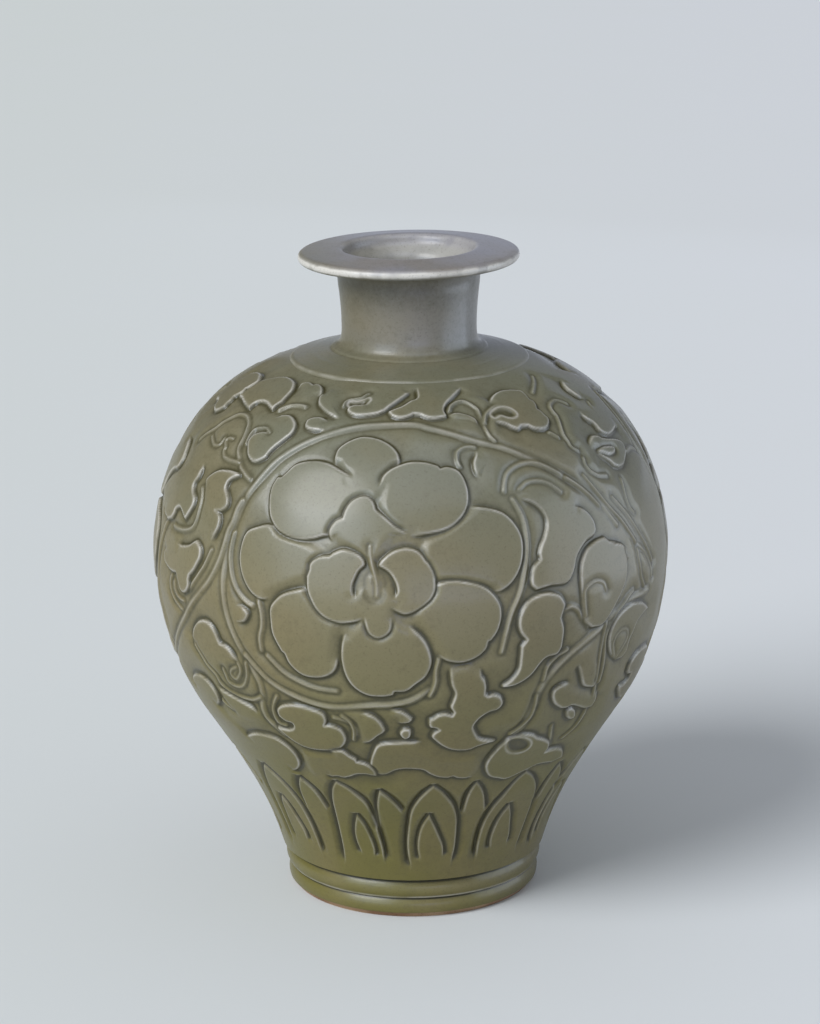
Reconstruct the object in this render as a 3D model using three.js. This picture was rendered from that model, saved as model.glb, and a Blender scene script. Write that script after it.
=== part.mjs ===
// Carved celadon vase: a stoneware body thrown in five sections, luted together and glazed.
// Millimetres, +Z up. The origin is at the middle of the foot's standing face.
// Every piece is turned about the Z axis from a profile of points (radius, height).

import * as THREE from 'three';

// Steps round the axis of every turned piece
const turnSteps = 40;

// Glaze: the coat over the clay, and the fine gap that keeps coat and clay apart
const glazeCoat = 0.5;
const coatGap = 0.1;

// Foot ring: two rounded bands between grooves, and a bare standing face
const lowerBandRadius = 38.6;
const lowerBandHeight = 6.4;
const upperBandRadius = 39.4;
const upperBandHeight = 5.9;
const bandGrooveDepth = 1.1;
const footBoreRadius = 31.0;
const footBoreTaper = 0.8;
const bareClayHeight = 1.2;

// Lower body: from the groove above the foot, flaring, then rounding in to the belly seam
const wallStartRadius = 40.5;
const wallStartRise = 1.1;
const wallStartLean = 16.5;
const flareHandle = 15.0;
const flankRadius = 65.8;
const flankRise = 49.9;
const flankLean = 33.8;
const flankHandleBelow = 30.0;
const flankHandleAbove = 18.4;
const bellyRadius = 78.8;
const bellyRise = 95.6;
const bellyHandleBelow = 9.3;
const floorThickness = 7.0;
const floorFlatRadius = 24.0;
const floorCornerShare = 0.16;
const wallAtFoot = 7.0;
const wallAtBelly = 4.6;

// Upper body: the shoulder, its raised collar and the seat of the neck
const bellyHandleAbove = 5.2;
const shoulderHandle = 43.0;
const shoulderSlope = 15.0;
const shoulderRise = 59.1;
const collarRadius = 36.0;
const collarStep = 0.5;
const collarRise = 2.8;
const wallAtShoulder = 4.2;

// Neck: a low flange luted on the collar, a slight waist, and the seam below the lip
const neckFlangeRadius = 23.3;
const neckFlangeHeight = 0.6;
const neckWaistRadius = 19.9;
const neckWaistRise = 6.4;
const neckTopRadius = 20.9;
const neckHeight = 20.7;
const neckBoreRadius = 16.3;

// Mouth rim: an everted disc lip with a round edge, which slopes down from a rolled mouth
const lipRadius = 33.0;
const lipThickness = 2.1;
const lipUndersideRise = 7.2;
const lipSlope = 1.1;
const lipFlareReach = 5.2;
const mouthRollRadius = 21.5;
const mouthRollWidth = 1.4;
const mouthRollHeight = 1.0;
const mouthFunnelDepth = 6.2;

// Glaze poured inside meets the outer coat this far below the rim's seam
const glazeMeetingDrop = 2.0;

// Steps along each curved stretch
const bandSteps = 4;
const wallSteps = 8;
const shoulderSteps = 8;
const innerWallSteps = 6;
const floorCornerSteps = 2;
const neckSteps = 3;
const lipSteps = 3;
const lipEdgeSteps = 4;

// Heights of the luting seams, worked out from the sections' own heights
const footSeam = lowerBandHeight + upperBandHeight;
const bellySeam = footSeam + bellyRise;
const neckSeam = bellySeam + shoulderRise + collarStep + collarRise;
const rimSeam = neckSeam + neckHeight;
const glazeMeeting = rimSeam - glazeMeetingDrop;
const floorTop = footSeam + floorThickness;

function point(radius, height) {
  return new THREE.Vector2(radius, height);
}

// A unit direction that leans out from the vertical by the given degrees
function leaning(degrees) {
  const angle = THREE.MathUtils.degToRad(degrees);
  return point(Math.sin(angle), Math.cos(angle));
}

// A point at some distance from a start, along a direction
function along(start, direction, distance) {
  return start.clone().addScaledVector(direction, distance);
}

// Points of a curve without its first one, so that stretches join without doubles
function stretch(curve, steps) {
  return curve.getPoints(steps).slice(1);
}

// A fillet between two points, drawn towards the corner that it rounds
function fillet(start, corner, end, steps) {
  return stretch(new THREE.QuadraticBezierCurve(start, corner, end), steps);
}

// A rounded band of the foot: full at its middle, falling away to the groove depth at both edges
function bandPoint(fullRadius, bottom, height, share) {
  return point(fullRadius - bandGrooveDepth * (2 * share - 1) ** 2, bottom + height * share);
}

function bandFace(fullRadius, bottom, height) {
  return Array.from({ length: bandSteps + 1 }, (unused, index) => (
    bandPoint(fullRadius, bottom, height, index / bandSteps)
  ));
}

// Moves an open profile sideways, to its right as it is followed, with mitred corners.
// Upright ends stay at their own height, so that they are cut level.
function offsetProfile(points, distance) {
  const directions = points.slice(1).map((next, index) => next.clone().sub(points[index]).normalize());
  const last = points.length - 1;
  return points.map((place, index) => {
    const incoming = directions[Math.max(index - 1, 0)];
    const outgoing = directions[Math.min(index, last - 1)];
    const side = point(incoming.y + outgoing.y, -incoming.x - outgoing.x).normalize();
    const mitre = distance / side.dot(point(outgoing.y, -outgoing.x));
    const moved = along(place, side, mitre);
    const isUprightEnd = (index === 0 || index === last) && Math.abs(outgoing.y) > Math.abs(outgoing.x);
    if (isUprightEnd) {
      moved.addScaledVector(outgoing, (place.y - moved.y) / outgoing.y);
    }
    return moved;
  });
}

// The inner face of a wall: points of its outer curve moved in by a thickness that changes evenly
function innerFace(curve, firstShare, wallAtStart, wallAtEnd) {
  return Array.from({ length: innerWallSteps + 1 }, (unused, index) => {
    const share = THREE.MathUtils.lerp(firstShare, 1, index / innerWallSteps);
    const tangent = curve.getTangent(share);
    const wall = THREE.MathUtils.lerp(wallAtStart, wallAtEnd, share);
    return along(curve.getPoint(share), point(-tangent.y, tangent.x), wall);
  });
}

// The flank below the belly: one path of two curves that share their lean where they meet
const wallStart = point(wallStartRadius, footSeam + wallStartRise);
const flank = point(flankRadius, footSeam + flankRise);
const belly = point(bellyRadius, bellySeam);
const lowerWall = new THREE.CurvePath();
lowerWall.add(new THREE.CubicBezierCurve(
  wallStart,
  along(wallStart, leaning(wallStartLean), flareHandle),
  along(flank, leaning(flankLean), -flankHandleBelow),
  flank,
));
lowerWall.add(new THREE.CubicBezierCurve(
  flank,
  along(flank, leaning(flankLean), flankHandleAbove),
  along(belly, leaning(0), -bellyHandleBelow),
  belly,
));

// The shoulder above the belly
const collarFoot = point(collarRadius, bellySeam + shoulderRise);
const upperWall = new THREE.CubicBezierCurve(
  belly,
  along(belly, leaning(0), bellyHandleAbove),
  along(collarFoot, leaning(90 + shoulderSlope), shoulderHandle),
  collarFoot,
);

// Outer clay faces, each from its lower seam to its upper one
const lowerBand = bandFace(lowerBandRadius, 0, lowerBandHeight);
const upperBand = bandFace(upperBandRadius, lowerBandHeight, upperBandHeight);
const footFace = [...lowerBand, ...upperBand.slice(1)];
const lowerFace = [footFace.at(-1), wallStart, ...lowerWall.getSpacedPoints(wallSteps).slice(1)];
const neckSeat = point(neckFlangeRadius, neckSeam);
const upperFace = [
  belly,
  ...upperWall.getSpacedPoints(shoulderSteps).slice(1),
  point(collarRadius, collarFoot.y + collarStep),
  neckSeat,
];
const neckFoot = point(neckFlangeRadius, neckSeam + neckFlangeHeight);
const neckWaist = point(neckWaistRadius, neckSeam + neckWaistRise);
const neckTop = point(neckTopRadius, rimSeam);
const neckFace = [
  neckSeat,
  neckFoot,
  ...fillet(neckFoot, point(neckWaistRadius, neckFoot.y), neckWaist, neckSteps),
  ...fillet(neckWaist, point(neckWaistRadius, (neckWaist.y + rimSeam) / 2), neckTop, neckSteps),
];

// The rim's face runs out under the lip, round its edge, in over its top and down into the mouth
const lipUnder = rimSeam + lipUndersideRise;
const lipEdgeRound = lipThickness / 2;
const lipUnderStart = point(neckTopRadius + lipFlareReach, lipUnder);
const lipEdge = new THREE.EllipseCurve(
  lipRadius - lipEdgeRound,
  lipUnder + lipEdgeRound,
  lipEdgeRound,
  lipEdgeRound,
  -Math.PI / 2,
  Math.PI / 2,
);
const mouthRoll = new THREE.EllipseCurve(
  mouthRollRadius,
  lipUnder + lipThickness + lipSlope - mouthRollHeight,
  mouthRollWidth,
  mouthRollHeight,
  Math.PI / 2,
  Math.PI,
);
const funnelTop = mouthRoll.getPoint(1);
const funnelFoot = point(neckBoreRadius, funnelTop.y - mouthFunnelDepth);
const funnelMiddle = (funnelTop.y + funnelFoot.y) / 2;
const funnel = new THREE.CubicBezierCurve(
  funnelTop,
  point(funnelTop.x, funnelMiddle),
  point(neckBoreRadius, funnelMiddle),
  funnelFoot,
);
const rimFace = [
  neckTop,
  ...fillet(neckTop, point(neckTopRadius, lipUnder), lipUnderStart, lipSteps),
  ...lipEdge.getPoints(lipEdgeSteps),
  ...mouthRoll.getPoints(lipSteps),
  ...stretch(funnel, lipSteps),
];

// Inner clay faces, each from its lower seam to its upper one
const lowerWallInside = innerFace(lowerWall, floorCornerShare, wallAtFoot, wallAtBelly);
const bellyInside = point(bellyRadius - wallAtBelly, bellySeam);
const floorEdge = point(floorFlatRadius, floorTop);
const floorFace = [
  point(0, floorTop),
  floorEdge,
  ...fillet(floorEdge, point(lowerWallInside[0].x, floorTop), lowerWallInside[0], floorCornerSteps),
  ...lowerWallInside.slice(1, -1),
  bellyInside,
];
const neckBore = point(neckBoreRadius, neckSeam);
const upperInside = [
  bellyInside,
  ...innerFace(upperWall, 0, wallAtBelly, wallAtShoulder).slice(1),
  point(neckBoreRadius, neckSeam - wallAtShoulder),
  neckBore,
];
const footBore = point(footBoreRadius, 0);
const footBoreTop = point(footBoreRadius - footBoreTaper, footSeam);

// Outer coat: bare clay is left at the standing edge, and the coat turns in over the lip
const coatedOutside = [
  bandPoint(lowerBandRadius, 0, lowerBandHeight, bareClayHeight / lowerBandHeight),
  ...footFace.filter((place) => place.y > bareClayHeight + glazeCoat),
  ...lowerFace.slice(1),
  ...upperFace.slice(1),
  ...neckFace.slice(1),
  ...rimFace.slice(1),
  point(neckBoreRadius, glazeMeeting),
];

// Lining poured inside, from the outer coat's lower edge in the neck down to the middle of the floor
const coatedInside = [
  ...floorFace.slice(0, -1),
  ...upperInside,
  point(neckBoreRadius, glazeMeeting),
].reverse();

// Coat under the base, from the middle out and down the foot's bore to the bare standing edge
const coatedBase = [
  point(0, footSeam),
  footBoreTop,
  footBoreTop.clone().lerp(footBore, 1 - bareClayHeight / footSeam),
];

// A coat of glaze on a profile that has the clay on its left
function coat(profile) {
  const near = offsetProfile(profile, coatGap);
  const far = offsetProfile(profile, coatGap + glazeCoat);
  return [...far, ...near.reverse()];
}

// A closed ring profile ends where it began; one that lies on the axis is already closed by it
function turn(name, profile, material) {
  const startsOnAxis = profile[0].x === 0 && profile.at(-1).x === 0;
  const outline = startsOnAxis ? profile : [...profile, profile[0]];
  const geometry = new THREE.LatheGeometry(outline, turnSteps);
  geometry.rotateX(Math.PI / 2);
  const mesh = new THREE.Mesh(geometry, material);
  mesh.name = name;
  return mesh;
}

const stoneware = { color: 0x9c8468, roughness: 0.9, metalness: 0 };
const celadon = { color: 0x7f7a55, roughness: 0.22, metalness: 0 };
const clayFinish = () => new THREE.MeshStandardMaterial(stoneware);
const glazeFinish = () => new THREE.MeshStandardMaterial(celadon);

const vase = new THREE.Group();
vase.add(turn('foot_ring', [...footFace, footBoreTop, footBore], clayFinish()));
vase.add(turn('lower_body', [
  point(0, footSeam),
  ...lowerFace,
  ...floorFace.toReversed(),
], clayFinish()));
vase.add(turn('upper_body', [...upperFace, ...upperInside.toReversed()], clayFinish()));
vase.add(turn('neck', [...neckFace, point(neckBoreRadius, rimSeam), neckBore], clayFinish()));
vase.add(turn('mouth_rim', [...rimFace, point(neckBoreRadius, rimSeam)], clayFinish()));
vase.add(turn('outer_glaze', coat(coatedOutside), glazeFinish()));
vase.add(turn('inner_glaze', coat(coatedInside), glazeFinish()));
vase.add(turn('base_glaze', coat(coatedBase), glazeFinish()));

export default vase;
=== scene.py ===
"""Carved celadon vase: a glazed skin with a peony scroll and lotus petals, over thrown clay sections.

Metres, +Z up, the origin at the middle of the foot's standing face, -Y towards the camera.
"""

import math

import bpy
import numpy as np
from mathutils import Matrix


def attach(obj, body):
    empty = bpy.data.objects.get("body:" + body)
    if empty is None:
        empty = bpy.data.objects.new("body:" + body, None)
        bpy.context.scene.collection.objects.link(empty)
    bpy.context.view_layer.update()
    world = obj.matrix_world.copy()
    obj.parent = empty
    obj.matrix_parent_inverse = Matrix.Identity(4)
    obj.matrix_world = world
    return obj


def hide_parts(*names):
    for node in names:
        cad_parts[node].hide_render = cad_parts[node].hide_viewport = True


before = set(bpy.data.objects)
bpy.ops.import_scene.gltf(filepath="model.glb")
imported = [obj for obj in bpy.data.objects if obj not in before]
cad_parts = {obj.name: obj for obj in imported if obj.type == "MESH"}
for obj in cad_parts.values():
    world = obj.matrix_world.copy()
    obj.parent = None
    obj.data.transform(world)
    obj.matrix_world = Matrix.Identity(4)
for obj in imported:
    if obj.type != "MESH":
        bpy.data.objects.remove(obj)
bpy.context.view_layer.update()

MM = 0.001
FULL_TURN = 2 * math.pi
TINY = 1e-9

# Clay profile, in millimetres: places are (radius, height), and bands are (radius, bottom, height)
FOOT_TOP = 12.3
LOWER_BAND = (38.6, 0.0, 6.4)
UPPER_BAND = (39.4, 6.4, 5.9)
BAND_GROOVE_DEPTH = 1.1
FOOT_BORE = 31.0
FOOT_BORE_TAPER = 0.8
BARE_CLAY_TOP = 1.2
WALL_START = (40.5, 13.4)
FLANK = (65.8, 62.2)
BELLY = (78.8, 107.9)
COLLAR_FOOT = (36.0, 167.0)
COLLAR_STEP = 0.5
COLLAR_RING = 29.5
NECK_SEAT = (23.3, 170.3)
NECK_FLANGE = 0.6
NECK_WAIST = (19.9, 176.7)
NECK_TOP = (20.9, 191.0)
NECK_BORE = 16.3
LIP_RADIUS = 33.0
LIP_UNDER = 198.2
LIP_FLARE = 5.2
LIP_ROUND = 1.05
LIP_DROP = 0.7
MOUTH_ROLL = (21.5, 200.4)
MOUTH_ROLL_SIZE = (1.4, 1.0)
FUNNEL_FOOT = 194.2
LINING_TOP = 189.0
FLOOR_TOP = 19.3
FLOOR_FLAT = 24.0

# Handles of the wall's three curves, as (millimetres, degrees of lean out from the vertical)
START_HANDLE = (15.0, 16.5)
FLANK_HANDLE_BELOW = (30.0, 33.8)
FLANK_HANDLE_ABOVE = (18.4, 33.8)
BELLY_HANDLE_BELOW = (9.3, 0)
BELLY_HANDLE_ABOVE = (5.2, 0)
COLLAR_HANDLE = (43.0, 105)
WALL_STEPS = (400, 400, 600)
BELLY_POINT = WALL_STEPS[0] + WALL_STEPS[1] - 2

# Thickness of the wall at its foot, at the belly and at the collar
WALL_THICKNESS = (7.0, 4.6, 4.2)

# The coat of glaze lies this far outside the clay, and the shown coats are this thick
COAT = 0.6
COAT_DEPTH = 0.5

# Points in a rounded corner, in a foot band, in the lip's edge, in the mouth's roll and in the funnel
FILLET_STEPS = 24
BAND_STEPS = 24
EDGE_STEPS = 17
ROLL_STEPS = 13
FUNNEL_STEPS = 24
SHARP_DEGREES = 38

# Carving, in millimetres. The ground round a leaf or petal is cut down in a long slope.
GROUND_DEPTH = 1.05
GROUND_REACH = 9.0
GROUND_CURVE = 1.3
GROUND_PASSES = 24
OUTLINE_MARGIN = 0.5

# The edge of a leaf or petal: its cut, its rounding, its pale line (thin glaze, partly a painted highlight)
# and the dark pool beside it
CUT_DEPTH = 1.2
CUT_REACH = 2.2
WALL_WIDTH = 0.5
EDGE_ROUND = 0.14
EDGE_ROUND_REACH = 0.3
RIM_PLACE = 0.2
RIM_WIDTH = 0.26
RIM_CLEAR_FROM = 0.2
RIM_CLEAR_REACH = 1.0
POOL_PLACE = 0.4
POOL_WIDTH = 0.7
POOL_CLEAR_REACH = 0.6

# Where an outline is open, its edge fades over OPEN_TAPER along it and its face over OPEN_FADE across it
OPEN_TAPER = 3.0
OPEN_END = 0.1
OPEN_FADE = 3.5
DEGREE_WIDTH = 1.2
CURVE_STEPS = 6

# A stem: a flat crest, rounded sides, a slope down to the ground, a pale line on it (thin glaze, partly a
# painted highlight) and a dark one beside it
STEM_DEPTH = 1.1
STEM_REACH = 3.4
STEM_CREST = 0.12
STEM_CREST_SHARE = 0.4
STEM_ROUND = 0.4
STEM_ROUND_CURVE = 1.4
STEM_SLOPE = 0.8
STEM_SLOPE_SHARE = 0.6
STEM_PALE = 0.38
STEM_PALE_SHARE = 0.5
STEM_SHADE = 0.6
STEM_SHADE_PLACE = 0.5
STEM_SHADE_WIDTH = 0.5
STEM_CLEAR_REACH = 1.0
STEM_CHUNK = 10
FAR_AWAY = 99.0

# A dished eye: its depth and slope, its dark middle and its pale edge, thin glaze partly painted as a
# highlight
HOLLOW_DEPTH = 0.6
HOLLOW_SLOPE = 1.4
HOLLOW_POOL = 0.9
HOLLOW_POOL_REACH = 1.0
HOLLOW_RIM = 0.8
HOLLOW_RIM_PLACE = 0.2
HOLLOW_RIM_WIDTH = 0.35

# Grooves of the lotus petals, as (width, depth), and what all of them share
PETAL_GROOVE = (2.6, 1.3)
TONGUE_GROOVE = (2.2, 1.0)
GROOVE_MARGIN = 1.0
GROOVE_STEEP = 0.45
GROOVE_CURVE = 1.3
GROOVE_TAPER = 0.06
GROOVE_END = 0.2
# The pale edge of a groove is thin glaze, partly a painted highlight
GROOVE_RIM = 0.35
GROOVE_RIM_PLACE = 0.55
GROOVE_RIM_WIDTH = 0.3
GROOVE_POOL = 1.25
GROOVE_POOL_CURVE = 0.8

# The fired glaze softens the carving, and its thickness is how far it stands over the cuts
MELT_PASSES = 2
LEVEL_PASSES = 60
THICKNESS_PASSES = 1
THICKNESS_GAIN = 1.25

# Carving of half of the way round, traced from the photo as (degrees round, millimetres up the wall).
# A leaf or petal has carved lobes, with a notch where two lobes meet, and a closing line without an edge.
# A stem has one width along its points.
FLOWER = {
    "top petal": (
        [[(-19.6, 148.5), (-20, 151), (-19.6, 154), (-17.1, 156.8), (-13.6, 158.5), (-9.3, 158),
          (-5.7, 156), (-3.6, 153.5), (-2.9, 151), (-3.2, 148.5)]],
        [(-7, 138), (-14, 138)],
    ),
    "left petal": (
        [[(-30, 127.9), (-33.6, 128.2), (-36.4, 127), (-38.6, 125.5), (-39.6, 123), (-40, 118),
          (-39.3, 114), (-37.9, 110.5), (-35.7, 107.5), (-33.2, 106.5), (-31.5, 107.2)]],
        [(-24, 112), (-17, 114), (-17, 122), (-25, 127)],
    ),
    "right petal": (
        [[(13.7, 136), (18, 135), (21.6, 133), (24.1, 129), (25, 125), (24.6, 120), (23.4, 116),
          (21.6, 113), (19.4, 111.2), (17.6, 110.8)]],
        [(8, 113), (2, 116), (2, 126), (8, 132)],
    ),
    "upper left petal": (
        [[(-17, 127.6), (-19.4, 127.4), (-22.1, 126.2), (-25.7, 125.7), (-30, 127), (-32.9, 130),
          (-34.3, 134), (-35, 139), (-34.3, 142.5)],
         [(-33.2, 142.7), (-32.1, 144.5), (-30, 147.5), (-25.7, 149), (-21.4, 148.7), (-17.1, 146.5),
          (-14.4, 145)]],
        [(-10, 143), (-8.6, 139), (-8, 132), (-12, 128)],
    ),
    "upper right petal": (
        [[(-7.6, 142.5), (-6.5, 146), (-4, 148.5), (0, 150.2), (4, 150), (7, 148.8)],
         [(7.6, 147.9), (9.5, 148.3), (12, 147), (13.3, 144), (13.7, 140), (13, 136), (11, 132.5),
          (8, 130), (4, 128.8), (0, 128.3)]],
        [(-3, 128.4), (-6, 130), (-8, 137)],
    ),
    "lower left petal": (
        [[(-22, 111.2), (-24.3, 110.8), (-27.9, 109), (-30, 106.5), (-31.1, 104), (-31.1, 100),
          (-30.7, 96), (-28.9, 91)],
         [(-28.3, 90.6), (-27.1, 87), (-24.3, 84.2), (-20.7, 84), (-17.9, 85.5), (-16.4, 88),
          (-16.1, 91)]],
        [(-16, 93), (-15, 99), (-12, 104), (-14, 108), (-19, 110.5)],
    ),
    "lower right petal": (
        [[(4, 113.3), (8, 114.7), (12.3, 114), (15.9, 112), (18.4, 108), (19.1, 104), (18.4, 99.5),
          (16.9, 96.3)],
         [(16.3, 96.2), (15.7, 93.5), (13.7, 91.2), (10.9, 90), (8, 90.5), (5.5, 92.5)]],
        [(3.6, 97), (0, 104), (0, 110)],
    ),
    "bottom petal": (
        [[(-14, 99), (-14.6, 96.5), (-15, 91), (-14.3, 85.5), (-12.5, 81.5), (-9.6, 79.2),
          (-6.4, 79), (-4.2, 79.6)],
         [(-3.9, 80.8), (-1.4, 81), (0.9, 83.5), (3, 86), (4.1, 90), (3.7, 94), (2.3, 98), (-0.6, 102)]],
        [(-5, 106), (-10, 106), (-13, 101.5)],
    ),
    "inner top petal": (
        [[(-17, 125.8), (-17.9, 127), (-18.2, 129), (-17.1, 131.5), (-16, 132.4)],
         [(-15.4, 132.7), (-15, 135), (-13.9, 137.5), (-12.1, 139), (-10.4, 139.3), (-8.9, 138.2)],
         [(-8.4, 137), (-8, 135.6), (-6.4, 134), (-4.6, 132), (-2.9, 130.3), (-0.6, 128.8)]],
        [(-3.6, 127), (-6, 122), (-9, 120), (-15, 124)],
    ),
    "inner left petal": (
        [[(-11.6, 109.6), (-12.4, 111.2), (-12.5, 113.6), (-12, 115.8), (-11.2, 118), (-10, 119.6)],
         [(-10.2, 120.8), (-11.2, 122.2), (-13.2, 123.4), (-15, 123.6), (-17, 122.4)],
         [(-17.6, 121.6), (-20, 121), (-21.8, 119), (-22, 117)],
         [(-22.5, 115), (-22.3, 111.5), (-21.4, 108.5), (-20, 105.5), (-17.9, 103.3), (-15, 102.3),
          (-12.1, 102.8), (-10, 104)]],
        [(-9.4, 106)],
    ),
    "inner right petal": (
        [[(-3.6, 110), (-2.8, 112), (-3.1, 114.4), (-4, 116.8), (-5.2, 118.4), (-6.8, 119.6)],
         [(-6.4, 120.8), (-4.8, 122.8), (-3.2, 124), (-1.4, 124.6), (0.5, 124.3), (2, 123.1), (3.1, 120.8)],
         [(3.6, 120.2), (4.6, 117.6), (5, 115), (4.9, 112.4), (4.2, 110.3), (3.2, 108.9), (1.9, 107.5),
          (0.2, 106.1), (-1.4, 105.6), (-2.8, 106.3), (-4.4, 107.6)]],
        [(-4.6, 109)],
    ),
    "small bottom petal": (
        [[(-9.9, 104.5), (-9.3, 101), (-8.6, 99.2), (-7.1, 98.2), (-5.6, 98.9), (-4.4, 100.8),
          (-4.1, 104.5)]],
        [(-4.8, 108), (-10, 108)],
    ),
}

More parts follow.
